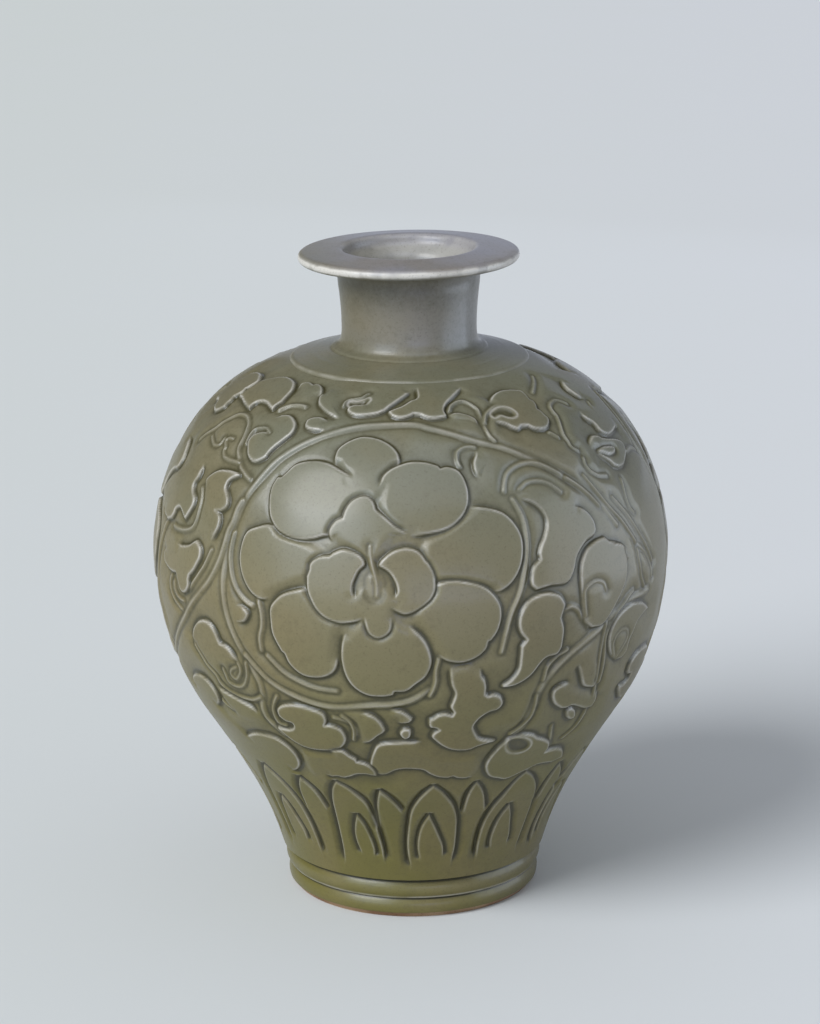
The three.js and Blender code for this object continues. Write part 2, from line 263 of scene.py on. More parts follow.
STEMS = {
    "ring": (2.2, [(-33.6, 59.8), (-35.6, 62.6), (-37.2, 66), (-37.4, 71), (-36.4, 75),
        (-36.6, 79.5), (-39.2, 86), (-42, 93.5), (-44, 102), (-44.6, 112), (-44.1, 122),
        (-42.3, 133), (-39.6, 141), (-36.2, 148), (-31, 154), (-25, 158.3), (-18.6, 161.4),
        (-12.9, 163), (-5.7, 163.8), (1.4, 163.8), (6, 162.2), (12, 159.8), (19, 156.4),
        (25, 153.8), (30, 150.4), (36, 145.6), (41, 140.6), (46, 135), (50, 129.5), (53, 123)]),
    "roundel foot": (2, [(-39.2, 87), (-36, 83), (-33.9, 80.5), (-30, 77.5), (-24.3, 74.8),
        (-18.6, 73.8), (-12, 74.8), (-8, 75.4), (-3.6, 76), (0, 77.5), (4, 81)]),
    "roundel side": (1.4, [(24.6, 137), (26.2, 131), (26.3, 125), (25.4, 118), (23.7, 110),
        (21.6, 104), (20.4, 98), (19.5, 92)]),
    "lower right stem": (2.4, [(23.8, 56), (24.6, 59), (27.2, 63), (28.6, 68), (29.4, 73),
        (30.4, 78), (32.4, 82.2), (35.4, 86), (39.6, 89.4), (45, 92.8), (51, 96.4), (57, 98.6),
        (64, 99)]),
    "right drop": (1.3, [(48.6, 93.5), (47.9, 89), (48.2, 84), (48.6, 80), (48.4, 75), (47.8, 70),
        (47, 65)]),
    "branch curl": (1.2, [(-50.6, 134.6), (-50.6, 137.4), (-48.7, 140.3), (-46.2, 141.6), (-43.4, 141)]),
    "arch": (1.3, [(22.8, 139.6), (23.6, 142.6), (24.9, 145), (27.5, 146.7), (31, 147.4),
        (34.2, 146.6), (37, 144.6), (39.8, 142), (43, 138.4)]),
    "inner curl": (1.1, [(39.8, 106.4), (40.6, 108.2), (42.4, 109.3), (44.6, 109), (46.4, 107)]),
    "leaf arch": (1.1, [(33.4, 100.6), (34.6, 102.2), (36.4, 102.6), (38.2, 101), (39.6, 98),
        (41.4, 95)]),
    "bud curl": (1.1, [(-18.4, 69.9), (-16.2, 69.2), (-14.4, 67.9), (-13.4, 66), (-13.5, 63.6)]),
    "stub ridge": (1.2, [(-43, 124), (-43.2, 118), (-42.4, 112.8), (-41.2, 109.2), (-39.6, 106.4),
        (-37.6, 104.4), (-36, 103.6)]),
    "inner ridge": (1.5, [(-34.4, 106), (-33.6, 102), (-33.6, 98), (-34.4, 94), (-34.4, 90)]),
    "low crescent": (1.3, [(-33, 88.6), (-29.2, 84), (-25.6, 81.6), (-21.6, 80), (-16.8, 79.6)]),
    "inner arch": (1, [(26.8, 139.6), (29.6, 141.4), (33.2, 141.2), (36, 139.4), (38, 136.8)]),
    "long arch end": (1.2, [(41, 140.6), (43.4, 138), (46, 134.4), (48.6, 130)]),
    "side stem at the right": (1.3, [(47.2, 94), (47, 88.8), (46.8, 84), (47.2, 79.6), (48, 73.6),
        (47.8, 68), (47.6, 62.8), (46.4, 57.6), (43.4, 53.6)]),
    "rib by the stem": (1, [(30.6, 80.4), (31.2, 84.8), (33.4, 87.6), (36, 89)]),
    "petal side ridge": (1.2, [(5.8, 91), (5.2, 87.6), (5.2, 84), (4.8, 81.6), (4, 79)]),
    "low bright stem line": (1.0, [(29.6, 75.2), (29.6, 71.6), (29.2, 68), (28.4, 66), (26.8, 63.6),
        (24.8, 61.6)]),
    "tip of the turning leaf": (0.9, [(15.6, 72), (17.2, 72.4), (19.2, 73.6), (20.4, 75.2)]),
    "leaf arch at the left": (1.2, [(-72, 145.6), (-71.2, 147.2), (-69.6, 149.2), (-67.6, 151.6),
        (-66.4, 154), (-64.4, 156.4), (-62.4, 158.4), (-59.6, 159.2), (-56.8, 158.8), (-54.4, 157.2),
        (-53.2, 155.2), (-52.4, 152.8), (-52, 150.8), (-51.6, 148.8), (-50.4, 146.8), (-49.2, 145.2),
        (-47.2, 143.2), (-44.8, 141.6), (-42.8, 140.4)]),
    "hook of the comma leaf": (0.8, [(-43.6, 156), (-46, 157.2), (-48.4, 156.8), (-50, 156),
        (-50.4, 154.4), (-50.4, 152.8), (-50, 150.8)]),
    "curl inside the arch": (0.9, [(-66.4, 148.8), (-64.4, 147.6), (-62.4, 146.8), (-60.4, 147.2),
        (-60, 148.4), (-60, 150)]),
    "lobes inside the arch": (0.9, [(-56, 150.8), (-58, 150.4), (-58.4, 149.2), (-56.8, 147.6),
        (-56.8, 146.4), (-55.2, 144.8), (-52.8, 144.4), (-50.8, 144.4), (-48.8, 144.4)]),
    "stub under the upper leaf": (1.5, [(-46.8, 164.4), (-45.6, 166), (-44, 167.2), (-40.8, 168),
        (-38, 168)]),
    "curl over the eye": (0.8, [(-24, 170.4), (-24, 172.4), (-22.8, 173.6), (-20.4, 174.4),
        (-18.4, 175.2), (-17.2, 176.8), (-16.4, 177.2)]),
    "hood": (1.2, [(13.6, 169.2), (14.4, 170.8), (16, 172), (18, 172.8), (20, 172.8), (21.6, 171.6),
        (22.8, 170), (23.6, 168.4), (23.6, 166.4), (23.6, 164.4), (23.2, 162), (23.2, 159.6),
        (23.6, 157.6), (24.4, 156)]),
    "small arch": (1.1, [(23.6, 162.8), (25.2, 165.6), (27.2, 167.2), (29.6, 168.4), (32.4, 168.8),
        (34.8, 168), (36.4, 166.8), (37.6, 165.2)]),
    "fold of the leaf in the roundel": (1, [(12.8, 148.4), (12.4, 150), (12.4, 151.6), (12.8, 153.2),
        (14.4, 154.4), (16.4, 154.8), (18, 154.4)]),
    "right branch": (1.1, [(59.6, 162.8), (58.4, 164.4), (56.4, 165.6), (53.2, 165.2), (51.2, 164),
        (50.4, 162), (50.4, 160.4), (49.6, 158.4), (48.4, 156), (47.6, 153.6), (47.6, 151.2),
        (47.6, 149.2), (49.2, 147.6)]),
    "stem over the right leaf": (1, [(62.4, 177.2), (58.8, 175.2), (54, 172.8), (50.8, 171.2)]),
    "right stem line": (1, [(49.6, 144.8), (49.2, 142.8), (49.6, 141.2), (50.8, 139.6), (52.4, 138.4),
        (55.2, 137.6)]),
    "line above the hooked leaf": (0.9, [(71.2, 160), (69.6, 158), (68, 156)]),
    "line at the far right": (1, [(60.4, 134.8), (60, 132.4), (59.6, 130), (59.6, 128), (60, 126),
        (61.2, 124)]),
    "folded edge at the right": (0.9, [(67.2, 140.4), (68.8, 141.2), (71.6, 141.2), (74.8, 140.8),
        (78, 138.8), (79.6, 136.8)]),
    "small fold at the right": (0.9, [(43.2, 155.6), (44, 154.8), (45.2, 153.2)]),
    "stem up the side": (1.9, [(74, 52), (79, 64), (80, 78), (77.5, 92), (80, 106), (81.5, 122), (79, 138),
        (81, 152), (85, 160)]),
    "stem down the far side": (1.7, [(107, 56), (104, 70), (106, 84), (103.5, 98), (106, 112),
                                     (108.5, 120)]),
    "stem under the far left leaf": (1.1, [(-58.4, 133.6), (-57.2, 130.8), (-56.8, 127.6),
        (-56.8, 124), (-57.6, 121.6), (-60, 120), (-63.2, 119.2), (-66.8, 119.2)]),
    "hook of the tall leaf": (1, [(-65.6, 104), (-66.4, 101.2), (-66, 98.8), (-64.4, 96.8),
        (-62.4, 95.6), (-60.8, 94.8)]),
    "inner curl of the tall leaf": (0.9, [(-64, 102.8), (-63.6, 100), (-62, 98.4), (-59.6, 98)]),
    "left branch": (1.9, [(-42.8, 133.6), (-43.6, 130.8), (-44, 127.2), (-44.8, 124), (-45.2, 120.4),
        (-46, 116), (-47.2, 112), (-49.2, 107.6), (-52, 103.6), (-55.2, 99.6), (-57.2, 96.8),
        (-60, 92.8), (-64, 88), (-70, 81), (-77, 74)]),
    "line over the left branch": (1.1, [(-49.2, 117.2), (-50, 114.8), (-51.2, 111.6), (-52.8, 108.8),
        (-54.8, 105.6), (-56.8, 102.8)]),
    "left tendril": (1.2, [(-57.2, 84.8), (-56, 82.8), (-54.8, 80.8), (-54, 79.2), (-52.4, 77.6),
        (-51.2, 76.4), (-50.4, 74), (-48.8, 72.4), (-46.8, 71.6), (-44.4, 71.2), (-42, 71.2),
        (-39.6, 71.6), (-37.2, 73.2)]),
    "berry in the left curl": (0.8, [(-42, 83.6), (-41.6, 82), (-42, 80), (-43.6, 77.6), (-44.8, 78),
        (-45.2, 79.2), (-44.4, 80.8), (-42.8, 82)]),
    "left curl": (0.9, [(-39.6, 84.4), (-39.6, 82), (-40, 79.6), (-41.2, 76.8), (-42.8, 75.2),
        (-44.8, 74.8), (-46.8, 75.6), (-47.2, 77.6), (-47.6, 80)]),
    "short ridge at the low left": (1.2, [(-52.4, 66.8), (-51.2, 65.6), (-49.2, 64.8)]),
    "outline over the round leaf": (1.1, [(59.6, 115.2), (61.2, 113.2), (63.6, 110.4), (64.8, 108),
        (66, 105.2), (66, 102.4)]),
    "side of the round leaf": (0.9, [(59.6, 113.2), (59.6, 110.4), (60, 107.6), (60.4, 104.4),
        (62, 100.8)]),
    "stem by the almond leaf": (1.1, [(48.8, 74), (48.8, 78), (48.4, 82), (48, 86.4), (48, 90),
        (49.2, 92.8), (50.8, 96), (52.8, 98), (54.8, 100), (56.8, 101.2)]),
    "fold of the almond leaf": (0.8, [(52.8, 85.2), (53.2, 88.4), (54, 91.6), (55.2, 94.4), (58, 95.2)]),
    "line below the right leaf": (1, [(36.8, 61.2), (38, 56.8), (40, 51.2)]),
    "long line over the round leaf": (1.1, [(46.8, 140), (48.8, 135.2), (51.6, 129.2), (54.8, 124),
        (57.6, 118.8), (59.2, 115.6)]),
    "second line over the round leaf": (1, [(54, 131.2), (57.6, 125.2), (60.4, 119.6), (63.6, 113.6),
        (66.4, 107.2)]),
    "outer line of the curling leaf": (1, [(-32.4, 74.8), (-33.6, 72), (-34.4, 69.2), (-34.4, 66),
        (-33.6, 64), (-32, 63.6)]),
    "second curl by the bud": (0.8, [(-16.4, 70.8), (-15.2, 69.6), (-14.4, 68), (-14, 65.2),
        (-14.4, 61.6)]),
}

LEAVES = {
    "border leaf": (
        [[(2.4, 61.6), (-3, 61.4), (-8, 60.4), (-10, 56), (-11.4, 50)],
         [(-11, 46), (-7.5, 46.4), (-5, 48.3), (-2.5, 49.2), (0, 49.2), (2.8, 48.6), (5, 46.4),
          (7.4, 44.8), (10, 44.2)],
         [(11.4, 44.8), (13.4, 43.6), (17.4, 43.2)]],
        [(19, 46), (19, 51), (16.6, 54.4), (10, 54.4), (4.6, 57)],
    ),
    "round leaf": (
        [[(40.2, 97), (39.6, 100), (39.4, 103), (39.1, 107), (39, 111), (39.7, 115), (41.6, 118.4),
          (44.4, 120), (47.6, 120.4)],
         [(49, 118.8), (52.6, 117), (54.2, 112), (53.4, 106), (50, 100), (46, 94.8), (42.4, 94.6)]],
        [],
    ),
    "turning leaf": (
        [[(25.2, 95), (23.8, 97.4), (23.2, 100.2), (23.7, 103.6), (25.2, 106.4), (27.2, 107.8),
          (30.2, 108.2), (33, 106.9), (34.4, 104)],
         [(33.4, 100), (34.2, 96.4), (34.2, 92.8)],
         [(34.1, 90.6), (33, 88.6), (30.4, 88.2), (28.8, 86.4), (27.2, 83.6), (25.2, 81.6),
          (22.8, 80.4), (20.4, 80.5), (22.4, 82.6), (23.8, 85.6), (24, 89.6), (24, 93)]],
        [],
    ),
    "tall right leaf": (
        [[(26.5, 137), (29.4, 135), (31.2, 132.6), (32, 130), (31.8, 127.4), (30.8, 124.7),
          (29.5, 122.2), (28.8, 120)],
         [(29, 118.4), (27.3, 116.6), (26.5, 114), (26.4, 111.6), (27.4, 110)],
         [(31, 110.6), (35, 110.4), (37, 113), (38.6, 117.6), (41.6, 121), (44.6, 122.4),
          (45.3, 125), (44.6, 127.8), (43, 130.2), (40.4, 131.8)]],
        [(38.2, 133), (36, 136.6), (33, 139.6), (28.6, 140.6), (25.2, 139.4)],
    ),
    "curling leaf": (
        [[(-32.9, 67.5), (-32.9, 70), (-31.1, 72), (-27.9, 73), (-24, 72.4), (-21, 71.2),
          (-20.4, 68.8), (-21.1, 66.6)],
         [(-19.6, 66.9), (-18, 66.3), (-16.8, 65), (-16.3, 62), (-17.2, 59.3), (-18.8, 57.3),
          (-21.4, 56), (-27.1, 55.6), (-30.6, 57.2), (-33.4, 60.4), (-34.6, 62.6), (-31.8, 62.4),
          (-29.8, 63.6), (-29.6, 65.6), (-31.4, 66)]],
        [],
    ),
    "wavy leaf": (
        [[(-22, 55.3), (-18.8, 56.4), (-17.5, 55.9), (-16.2, 54), (-15, 52.9)],
         [(-14.8, 51.6), (-12.8, 51), (-11.4, 49.6), (-10.4, 47.5), (-10.2, 45.3)],
         [(-13, 45.9), (-15.6, 45.6), (-18, 44.1)],
         [(-20, 43.2), (-22, 43.6), (-24, 43), (-25.6, 43.8)]],
        [(-28, 41.8), (-30.3, 41.6), (-31.8, 44), (-32, 50), (-30.5, 54.6), (-27, 54.4)],
    ),
    "low left leaf": (
        [[(-50, 53), (-45, 56.3), (-40, 57.4), (-36.5, 56.8), (-34, 53.8), (-32.9, 50.3),
          (-33.3, 46.4), (-35.2, 43.6), (-38, 41.8)]],
        [(-41, 41.8), (-46, 43.5), (-50, 47)],
    ),
    "slim left leaf": (
        [[(-52.5, 72), (-48.5, 71), (-44.5, 69.8), (-41, 68.4), (-39.6, 66.2)]],
        [(-41, 63), (-45, 61.5), (-49, 63), (-52, 67)],
    ),
    "edge leaf": (
        [[(-66, 66), (-65, 70.5), (-61, 73), (-57, 73), (-54.4, 70.2), (-54, 66.4), (-57, 63)]],
        [(-60, 61), (-64, 62)],
    ),
    "right foot leaf": (
        [[(24.4, 59.4), (28, 60.6), (31.5, 59.4), (33.4, 57.6), (36, 56), (38.6, 53.6), (39.6, 50.8)],
         [(39.2, 49), (41.4, 49.2), (44.4, 48.6), (47.5, 46.5), (49.5, 43)],
         [(45, 42.4), (41, 43.4), (38.4, 43.6)],
         [(34, 42), (29, 40), (26, 41), (22.5, 43), (20.5, 47.5), (20.9, 52), (22.4, 56.4)]],
        [],
    ),
    "stub leaf": (
        [[(-40.6, 97.6), (-38.4, 98.3), (-37.4, 99.8), (-37.2, 101.3), (-38.5, 102.5), (-40.3, 103)]],
        [(-42, 101)],
    ),
    "upper left leaf": (
        [[(-82, 166.4), (-78.8, 169.2), (-72.4, 172), (-69.6, 174), (-66, 176.4), (-61.6, 177.6),
          (-56.8, 177.2), (-53.2, 176), (-50.4, 173.6), (-49.6, 172), (-49.2, 170), (-48.8, 167.6)],
         [(-49.2, 166.8), (-49.6, 165.6), (-49.6, 164)],
         [(-54.4, 165.6), (-57.2, 165.6), (-59.2, 164.8), (-60, 163.6), (-60, 161.6)],
         [(-70, 163.6), (-72.8, 163.6), (-78, 164.4), (-80.8, 165.2)]],
        [],
    ),
    "notched leaf under the collar": (
        [[(-49.6, 174.8), (-50, 176.8), (-48.8, 178), (-46.8, 178.4), (-44.8, 178)],
         [(-43.6, 177.6), (-42.4, 178.4), (-40, 178), (-38, 176.8), (-36.4, 174.8), (-36.8, 173.2)]],
        [(-38, 172), (-39.2, 170), (-42, 170), (-46.4, 172)],
    ),
    "comma leaf": (
        [[(-44, 156), (-46, 155.6), (-47.6, 154.8), (-48.8, 153.6), (-49.2, 152), (-48.8, 150.8),
          (-47.6, 148.8), (-46.4, 147.2), (-44.4, 146), (-42.8, 146), (-41.6, 146.8), (-40.4, 148),
          (-40, 149.6), (-39.2, 151.6), (-38, 153.6), (-36.8, 155.6), (-36, 157.2), (-36, 159.2),
          (-36.8, 160.8), (-38.8, 162.4), (-40.8, 163.2), (-43.2, 162.8), (-45.6, 161.6)]],
        [(-47.6, 160.4), (-47.2, 158.4)],
    ),
    "small shoulder leaf": (
        [[(-26, 160), (-28.4, 159.6), (-30.8, 159.6), (-32.8, 160.4), (-33.2, 161.6), (-33.2, 162.8),
          (-31.6, 164), (-29.2, 164.4), (-26.4, 163.6)]],
        [(-23.2, 163.2), (-23.6, 161.6)],
    ),
    "leaf with the eye": (
        [[(-14.8, 172), (-17.6, 171.2), (-20, 170.8), (-21.2, 170), (-21.6, 168.8), (-20.4, 167.6),
          (-18.4, 166.8), (-16, 166.8), (-13.6, 167.2), (-10.8, 168), (-8.8, 169.2)],
         [(-7.2, 171.2), (-5.6, 172.8), (-3.6, 174.8), (-1.6, 176.8), (0.4, 178.8)]],
        [(-1.2, 181.6), (-8, 181.6), (-13.6, 179.6), (-15.2, 176)],
    ),
    "leaf left of the eye": (
        [[(-36, 175.2), (-35.2, 172.4), (-33.6, 170), (-32, 168.8), (-30, 167.6), (-27.6, 166.4),
          (-25.6, 165.6), (-23.2, 164.8)]],
        [(-21.6, 166), (-23.6, 168.8), (-25.6, 172.4), (-28.8, 176.4), (-34.4, 178)],
    ),
    "leaf under the collar ring": (
        [[(22.4, 179.2), (16.4, 174.8), (13.2, 172), (11.6, 169.2), (12, 166.8)],
         [(11.6, 166.4), (9.2, 166), (6.8, 166), (4.8, 166.8), (3.6, 167.6)],
         [(1.2, 168), (0, 167.2), (-2, 166.4), (-4, 166.4), (-6, 167.2)],
         [(-7.2, 168.8), (-5.2, 170), (-2.8, 171.2), (-0.8, 172.8), (0.8, 174), (2, 174.4),
          (3.2, 175.6), (3.2, 178), (3.2, 180.8)]],
        [(3.4, 184), (12, 185), (23, 184)],
    ),
    "hooded leaf": (
        [[(12.8, 167.2), (15.6, 167.6), (18, 166.8), (20, 165.6), (21.2, 164), (21.2, 162)]],
        [(18.8, 162.8), (15.2, 163.6), (12.8, 164.8)],
    ),
    "upper right leaf": (
        [[(29.2, 170.4), (32, 172.8), (35.6, 174.4), (39.6, 174.8), (43.6, 174), (46, 172.8),
          (46, 170.4), (45.6, 168.4)],
         [(46.4, 167.6), (46, 166), (44.8, 164.4)],
         [(45.6, 163.2), (45.6, 161.6), (46, 160), (44.8, 158.4), (42.8, 157.2), (40.4, 157.2),
          (38.4, 158), (37.2, 159.2)],
         [(34.8, 159.6), (33.2, 158.8), (31.6, 159.6), (30.4, 160.8), (28.4, 162), (26.8, 162.8)]],
        [(26.4, 165.6), (27.2, 168)],
    ),
    "leaf in the roundel": (
        [[(18, 153.2), (17.6, 151.6), (16.8, 150), (16.4, 148.8)],
         [(16.4, 148), (16.4, 146.8), (16.8, 145.2), (17.6, 144)]],
        [(20, 145.2), (22.4, 147.2), (22.8, 150.4), (20.8, 153.2)],
    ),
    "top right leaf": (
        [[(73.2, 170.4), (70, 168.8), (68.8, 166.8), (68.8, 165.2), (69.2, 163.2), (71.2, 161.6)]],
        [(76.4, 160.4), (81.2, 162.4), (80.4, 166), (79.2, 168.8)],
    ),
    "right hooked leaf": (
        [[(61.2, 158.8), (61.2, 156.8), (61.6, 155.6), (62.8, 154), (63.2, 152.4), (63.2, 150.8),
          (64.4, 149.2), (66.4, 148.4), (69.2, 148.4), (72.4, 148.8), (75.2, 149.2)]],
        [(78.4, 152.4), (78.4, 156.8), (73.6, 159.6), (66.4, 160)],
    ),
    "right curled leaf": (
        [[(54.4, 147.6), (56, 149.2), (58, 150), (60, 149.6)],
         [(61.2, 148.4), (64, 147.2), (67.6, 146), (70, 144.4), (70, 142.4), (68.8, 140.8),
          (66.8, 139.6), (64.4, 138.4), (61.6, 138.4)],
         [(60, 139.2), (59.2, 140.8), (58, 142.4), (56.8, 144), (56, 145.6)]],
        [(54.4, 146)],
    ),
    "small lobe by the curled leaf": (
        [[(56.8, 145.2), (59.2, 145.6), (61.6, 145.2), (64, 144.4), (64, 143.2), (62, 142.8),
          (60, 143.2), (58, 144.4)]],
        [],
    ),
    "far left leaf": (
        [[(-62, 140.4), (-61.6, 138), (-61.6, 136), (-62.4, 133.6), (-61.6, 131.6), (-60, 130),
          (-59.6, 128), (-60, 126.4), (-60.8, 124.4), (-61.6, 122.8)],
         [(-64.4, 124.8), (-66, 125.2), (-67.6, 124), (-68, 122.4), (-68.8, 120.8)],
         [(-71.2, 119.6), (-74.4, 120.4), (-76.4, 122)]],
        [(-85.2, 123.6), (-80.4, 131.2), (-71.2, 137.6)],
    ),
    "tall left leaf": (
        [[(-63.2, 114.8), (-60.8, 114.8), (-57.6, 116), (-55.2, 118), (-54, 117.6), (-52.8, 116),
          (-52.8, 113.6), (-53.6, 111.6), (-54.8, 109.2), (-56.4, 107.2)],
         [(-56.8, 105.6), (-56.8, 103.6), (-58, 101.6), (-59.6, 100.8), (-60.8, 101.6)],
         [(-62.4, 106), (-64.8, 105.6), (-67.2, 106), (-69.6, 107.2), (-70, 109.6), (-69.2, 112)]],
        [(-66.4, 113.6)],
    ),
    "middle left leaf": (
        [[(-57.2, 134), (-57.6, 136.4), (-56.4, 138.4), (-54, 140.4), (-50.4, 141.2), (-47.6, 141.2)],
         [(-46.4, 140.8), (-48.4, 139.2), (-49.2, 138), (-49.2, 136), (-48, 134.4)],
         [(-47.2, 133.2), (-46.8, 131.6), (-47.2, 130.4), (-48.4, 129.2)],
         [(-50.4, 128.8), (-48.8, 128), (-48, 126.4), (-48, 124.4), (-48.4, 122.8), (-49.2, 120.8),
          (-50, 119.6)]],
        [(-50.8, 120.8), (-51.6, 124), (-53.2, 127.6), (-55.2, 129.6), (-56.8, 131.6)],
    ),
    "left leaf": (
        [[(-57.6, 85.2), (-57.2, 88), (-56, 90.8), (-53.6, 93.6), (-51.2, 94.8), (-49.6, 94.4),
          (-48.4, 93.2), (-47.6, 91.6), (-47.2, 90)],
         [(-46.8, 88.8), (-45.2, 88.4), (-43.6, 87.2), (-42.4, 85.2), (-41.6, 84)]],
        [(-44.4, 82.8), (-48.8, 80), (-52.4, 78.8), (-54.4, 81.2), (-56.4, 83.2)],
    ),
    "almond leaf": (
        [[(61.2, 96), (57.2, 97.2), (54, 96.8), (51.2, 95.2), (49.6, 92.8), (48.8, 89.6), (49.2, 86.4),
          (50.8, 82.8), (53.6, 80)],
         [(55.6, 80), (57.2, 81.6), (57.6, 84.8), (58.8, 87.6), (60, 90.4), (62.8, 92), (65.2, 92.8)]],
        [],
    ),
    "leaf at the right drop": (
        [[(39.6, 83.6), (40.8, 80.4), (42, 77.2), (43.2, 74.8), (45.2, 73.6), (47.2, 73.2), (47.6, 74.8)]],
        [(47.6, 78), (46.4, 82), (43.6, 84.8), (41.2, 85.2)],
    ),
    "right scalloped leaf": (
        [[(38.8, 76.8), (36.8, 77.2), (35.2, 76.8), (34, 75.6), (34, 73.6), (35.2, 70.8), (37.6, 68.4)],
         [(39.2, 68), (40.8, 68.4), (43.2, 67.2), (46.4, 65.2)],
         [(49.2, 64.8), (49.6, 67.2), (49.2, 70.8)]],
        [(46.4, 72), (42.4, 74.4)],
    ),
    "berry at the right": (
        [[(40, 66), (40.4, 66.8), (42, 66.4), (43.2, 64.8), (43.6, 62.8), (42.4, 62.4), (40.8, 64)]],
        [],
    ),
    "upper lobe at the right": (
        [[(49.6, 118.4), (50.4, 117.6), (52, 117.2), (53.6, 116.4), (55.2, 114.4)]],
        [(56.4, 112), (54.4, 110.8), (50.4, 112.8)],
    ),
    "boot leaf": (
        [[(8.4, 88.4), (8.4, 86), (8.8, 82.4), (9.6, 79.6), (9.2, 76.8), (8.8, 74.8), (9.6, 72.8)],
         [(9.2, 71.6), (7.6, 72.4), (6, 72), (4.8, 70.8)],
         [(4, 70.4), (4, 68.8), (4.4, 67.6), (5.6, 67.2)],
         [(6.4, 66.4), (5.2, 65.2), (4.8, 63.6), (6, 61.6), (7.6, 59.6), (9.6, 58), (12, 57.2),
          (14.4, 57.2), (16.4, 58.4), (18.8, 59.2), (20.8, 59.6)],
         [(18.8, 60.4), (16.4, 61.6), (15.2, 64), (14.4, 66.8), (15.2, 69.2), (16.4, 70.8), (18, 72),
          (19.6, 72.4)],
         [(20.4, 73.2), (20.8, 74.8), (20, 76.8), (18.4, 78), (17.2, 77.6)],
         [(16.4, 78.4), (16.4, 80.8), (16, 83.2), (15.2, 84.8), (14.8, 87.6)]],
        [(12.8, 89.6), (10, 89.6)],
    ),
    "bud": (
        [[(-12, 72.4), (-10.4, 72.4), (-8.8, 71.6), (-7.6, 70), (-6.8, 68), (-6.4, 66.4)],
         [(-7.2, 65.2), (-8.4, 64), (-9.6, 62.4), (-10.8, 61.2), (-12.4, 60.4)]],
        [(-13.2, 62), (-13.6, 65.2), (-13.2, 69.2), (-12.8, 71.6)],
    ),
    "small leaf": (
        [[(-5.2, 74), (-4, 74), (-2.4, 73.6), (-1.2, 72.4), (0, 70.8)],
         [(-0.8, 69.6), (-2.4, 69.2), (-3.6, 69.6)]],
        [(-4.8, 70.8), (-5.6, 72.4)],
    ),
    "berry under the small leaf": (
        [[(-2.8, 65.2), (-2, 66.8), (-0.8, 66.8), (-0.4, 65.6), (-0.8, 63.6), (-2, 63.2)]],
        [],
    ),
}

# Dished eyes in leaves, as closed curves
HOLLOWS = {
    "eye of the right foot leaf": [(24.4, 56.4), (24.4, 59.2), (26, 60), (28.8, 59.2), (31.2, 57.2),
        (32, 54.6), (31, 52.8), (28.6, 52.4), (26, 53.6)],
    "eye of the shoulder leaf": [(-22.8, 171.6), (-22.4, 172.8), (-20, 173.2), (-17.6, 174),
        (-16, 174.8), (-14.8, 173.6), (-16, 172), (-18.8, 171.2), (-21.2, 170.8)],
    "hollow under the small arch": [(27.2, 166), (29.2, 167.2), (32, 167.6), (34.4, 166.8),
        (35.6, 165.2), (35.6, 163.6), (34, 162.8), (32, 163.2), (30, 164.4), (27.6, 164)],
}

# Ridges that stand on petals and leaves, as (width, relief, points)
RIDGES = {
    "ovary": (5.2, 1.0, [(-7.7, 111.6), (-7.7, 114.8)]),
    "pistil": (1.2, 0.42, [(-8.8, 125), (-8.7, 122.4), (-8.3, 119.6), (-7.6, 116.4), (-7.2, 113.6),
                           (-7.2, 110.8)]),
    "pocket of the round leaf": (1, 0.6, [(40.4, 98.8), (40, 102.4), (40, 106.4), (41.6, 108),
        (43.6, 108.4), (45.6, 107.2), (46.4, 104.8)]),
    "loop in the almond leaf": (0.9, 0.5, [(52, 82), (50.8, 86), (51.6, 88.8), (53.6, 90), (56, 88.8),
        (56.4, 86), (54.8, 83.2), (53.2, 81.2)]),
}

# Lotus petals round the foot, as (degrees round, millimetres up): each is followed up its left side,
# over its tip and down its right side. Broad ones stand in front and narrow ones show between them.
BROAD_PETALS = {
    "first": [[(-29.8, 5), (-29.2, 11), (-28.8, 16), (-28.3, 22), (-27.8, 27), (-27.1, 32),
               (-25.6, 37), (-23.6, 40.4)],
              [(-23.6, 40.4), (-20, 38), (-17, 35), (-14.8, 31.8), (-13.6, 27), (-12.6, 21),
               (-11.4, 13), (-11, 7)]],
    "second": [[(-1.4, 5), (-2.4, 9.5), (-2.6, 15), (-1.9, 22), (-0.8, 29), (1.3, 34), (3.6, 37.6),
                (6.2, 40.6)],
               [(6.2, 40.6), (8.9, 37.8), (11, 35), (13.7, 30.5), (15.6, 25), (16.4, 19), (16.8, 12),
                (16, 6)]],
    "third": [[(25.8, 6), (25.4, 12), (25.5, 18), (26.4, 23.5), (28.3, 28.5), (30.8, 33), (33.6, 38),
               (36.4, 40.8)],
              [(36.4, 40.8), (40, 38), (43, 34.5), (45.4, 30), (47, 24), (47.8, 18), (48, 11), (47.6, 6)]],
    "fourth": [[(-60.5, 6), (-60.4, 11), (-60, 17), (-59.2, 23), (-58, 28), (-56, 33), (-53.8, 37),
                (-51.4, 40.4)],
               [(-51.4, 40.4), (-48.8, 37.6), (-46, 34), (-43.6, 29.6), (-42, 24.5), (-41, 18),
                (-40.4, 11), (-40, 6)]],
}
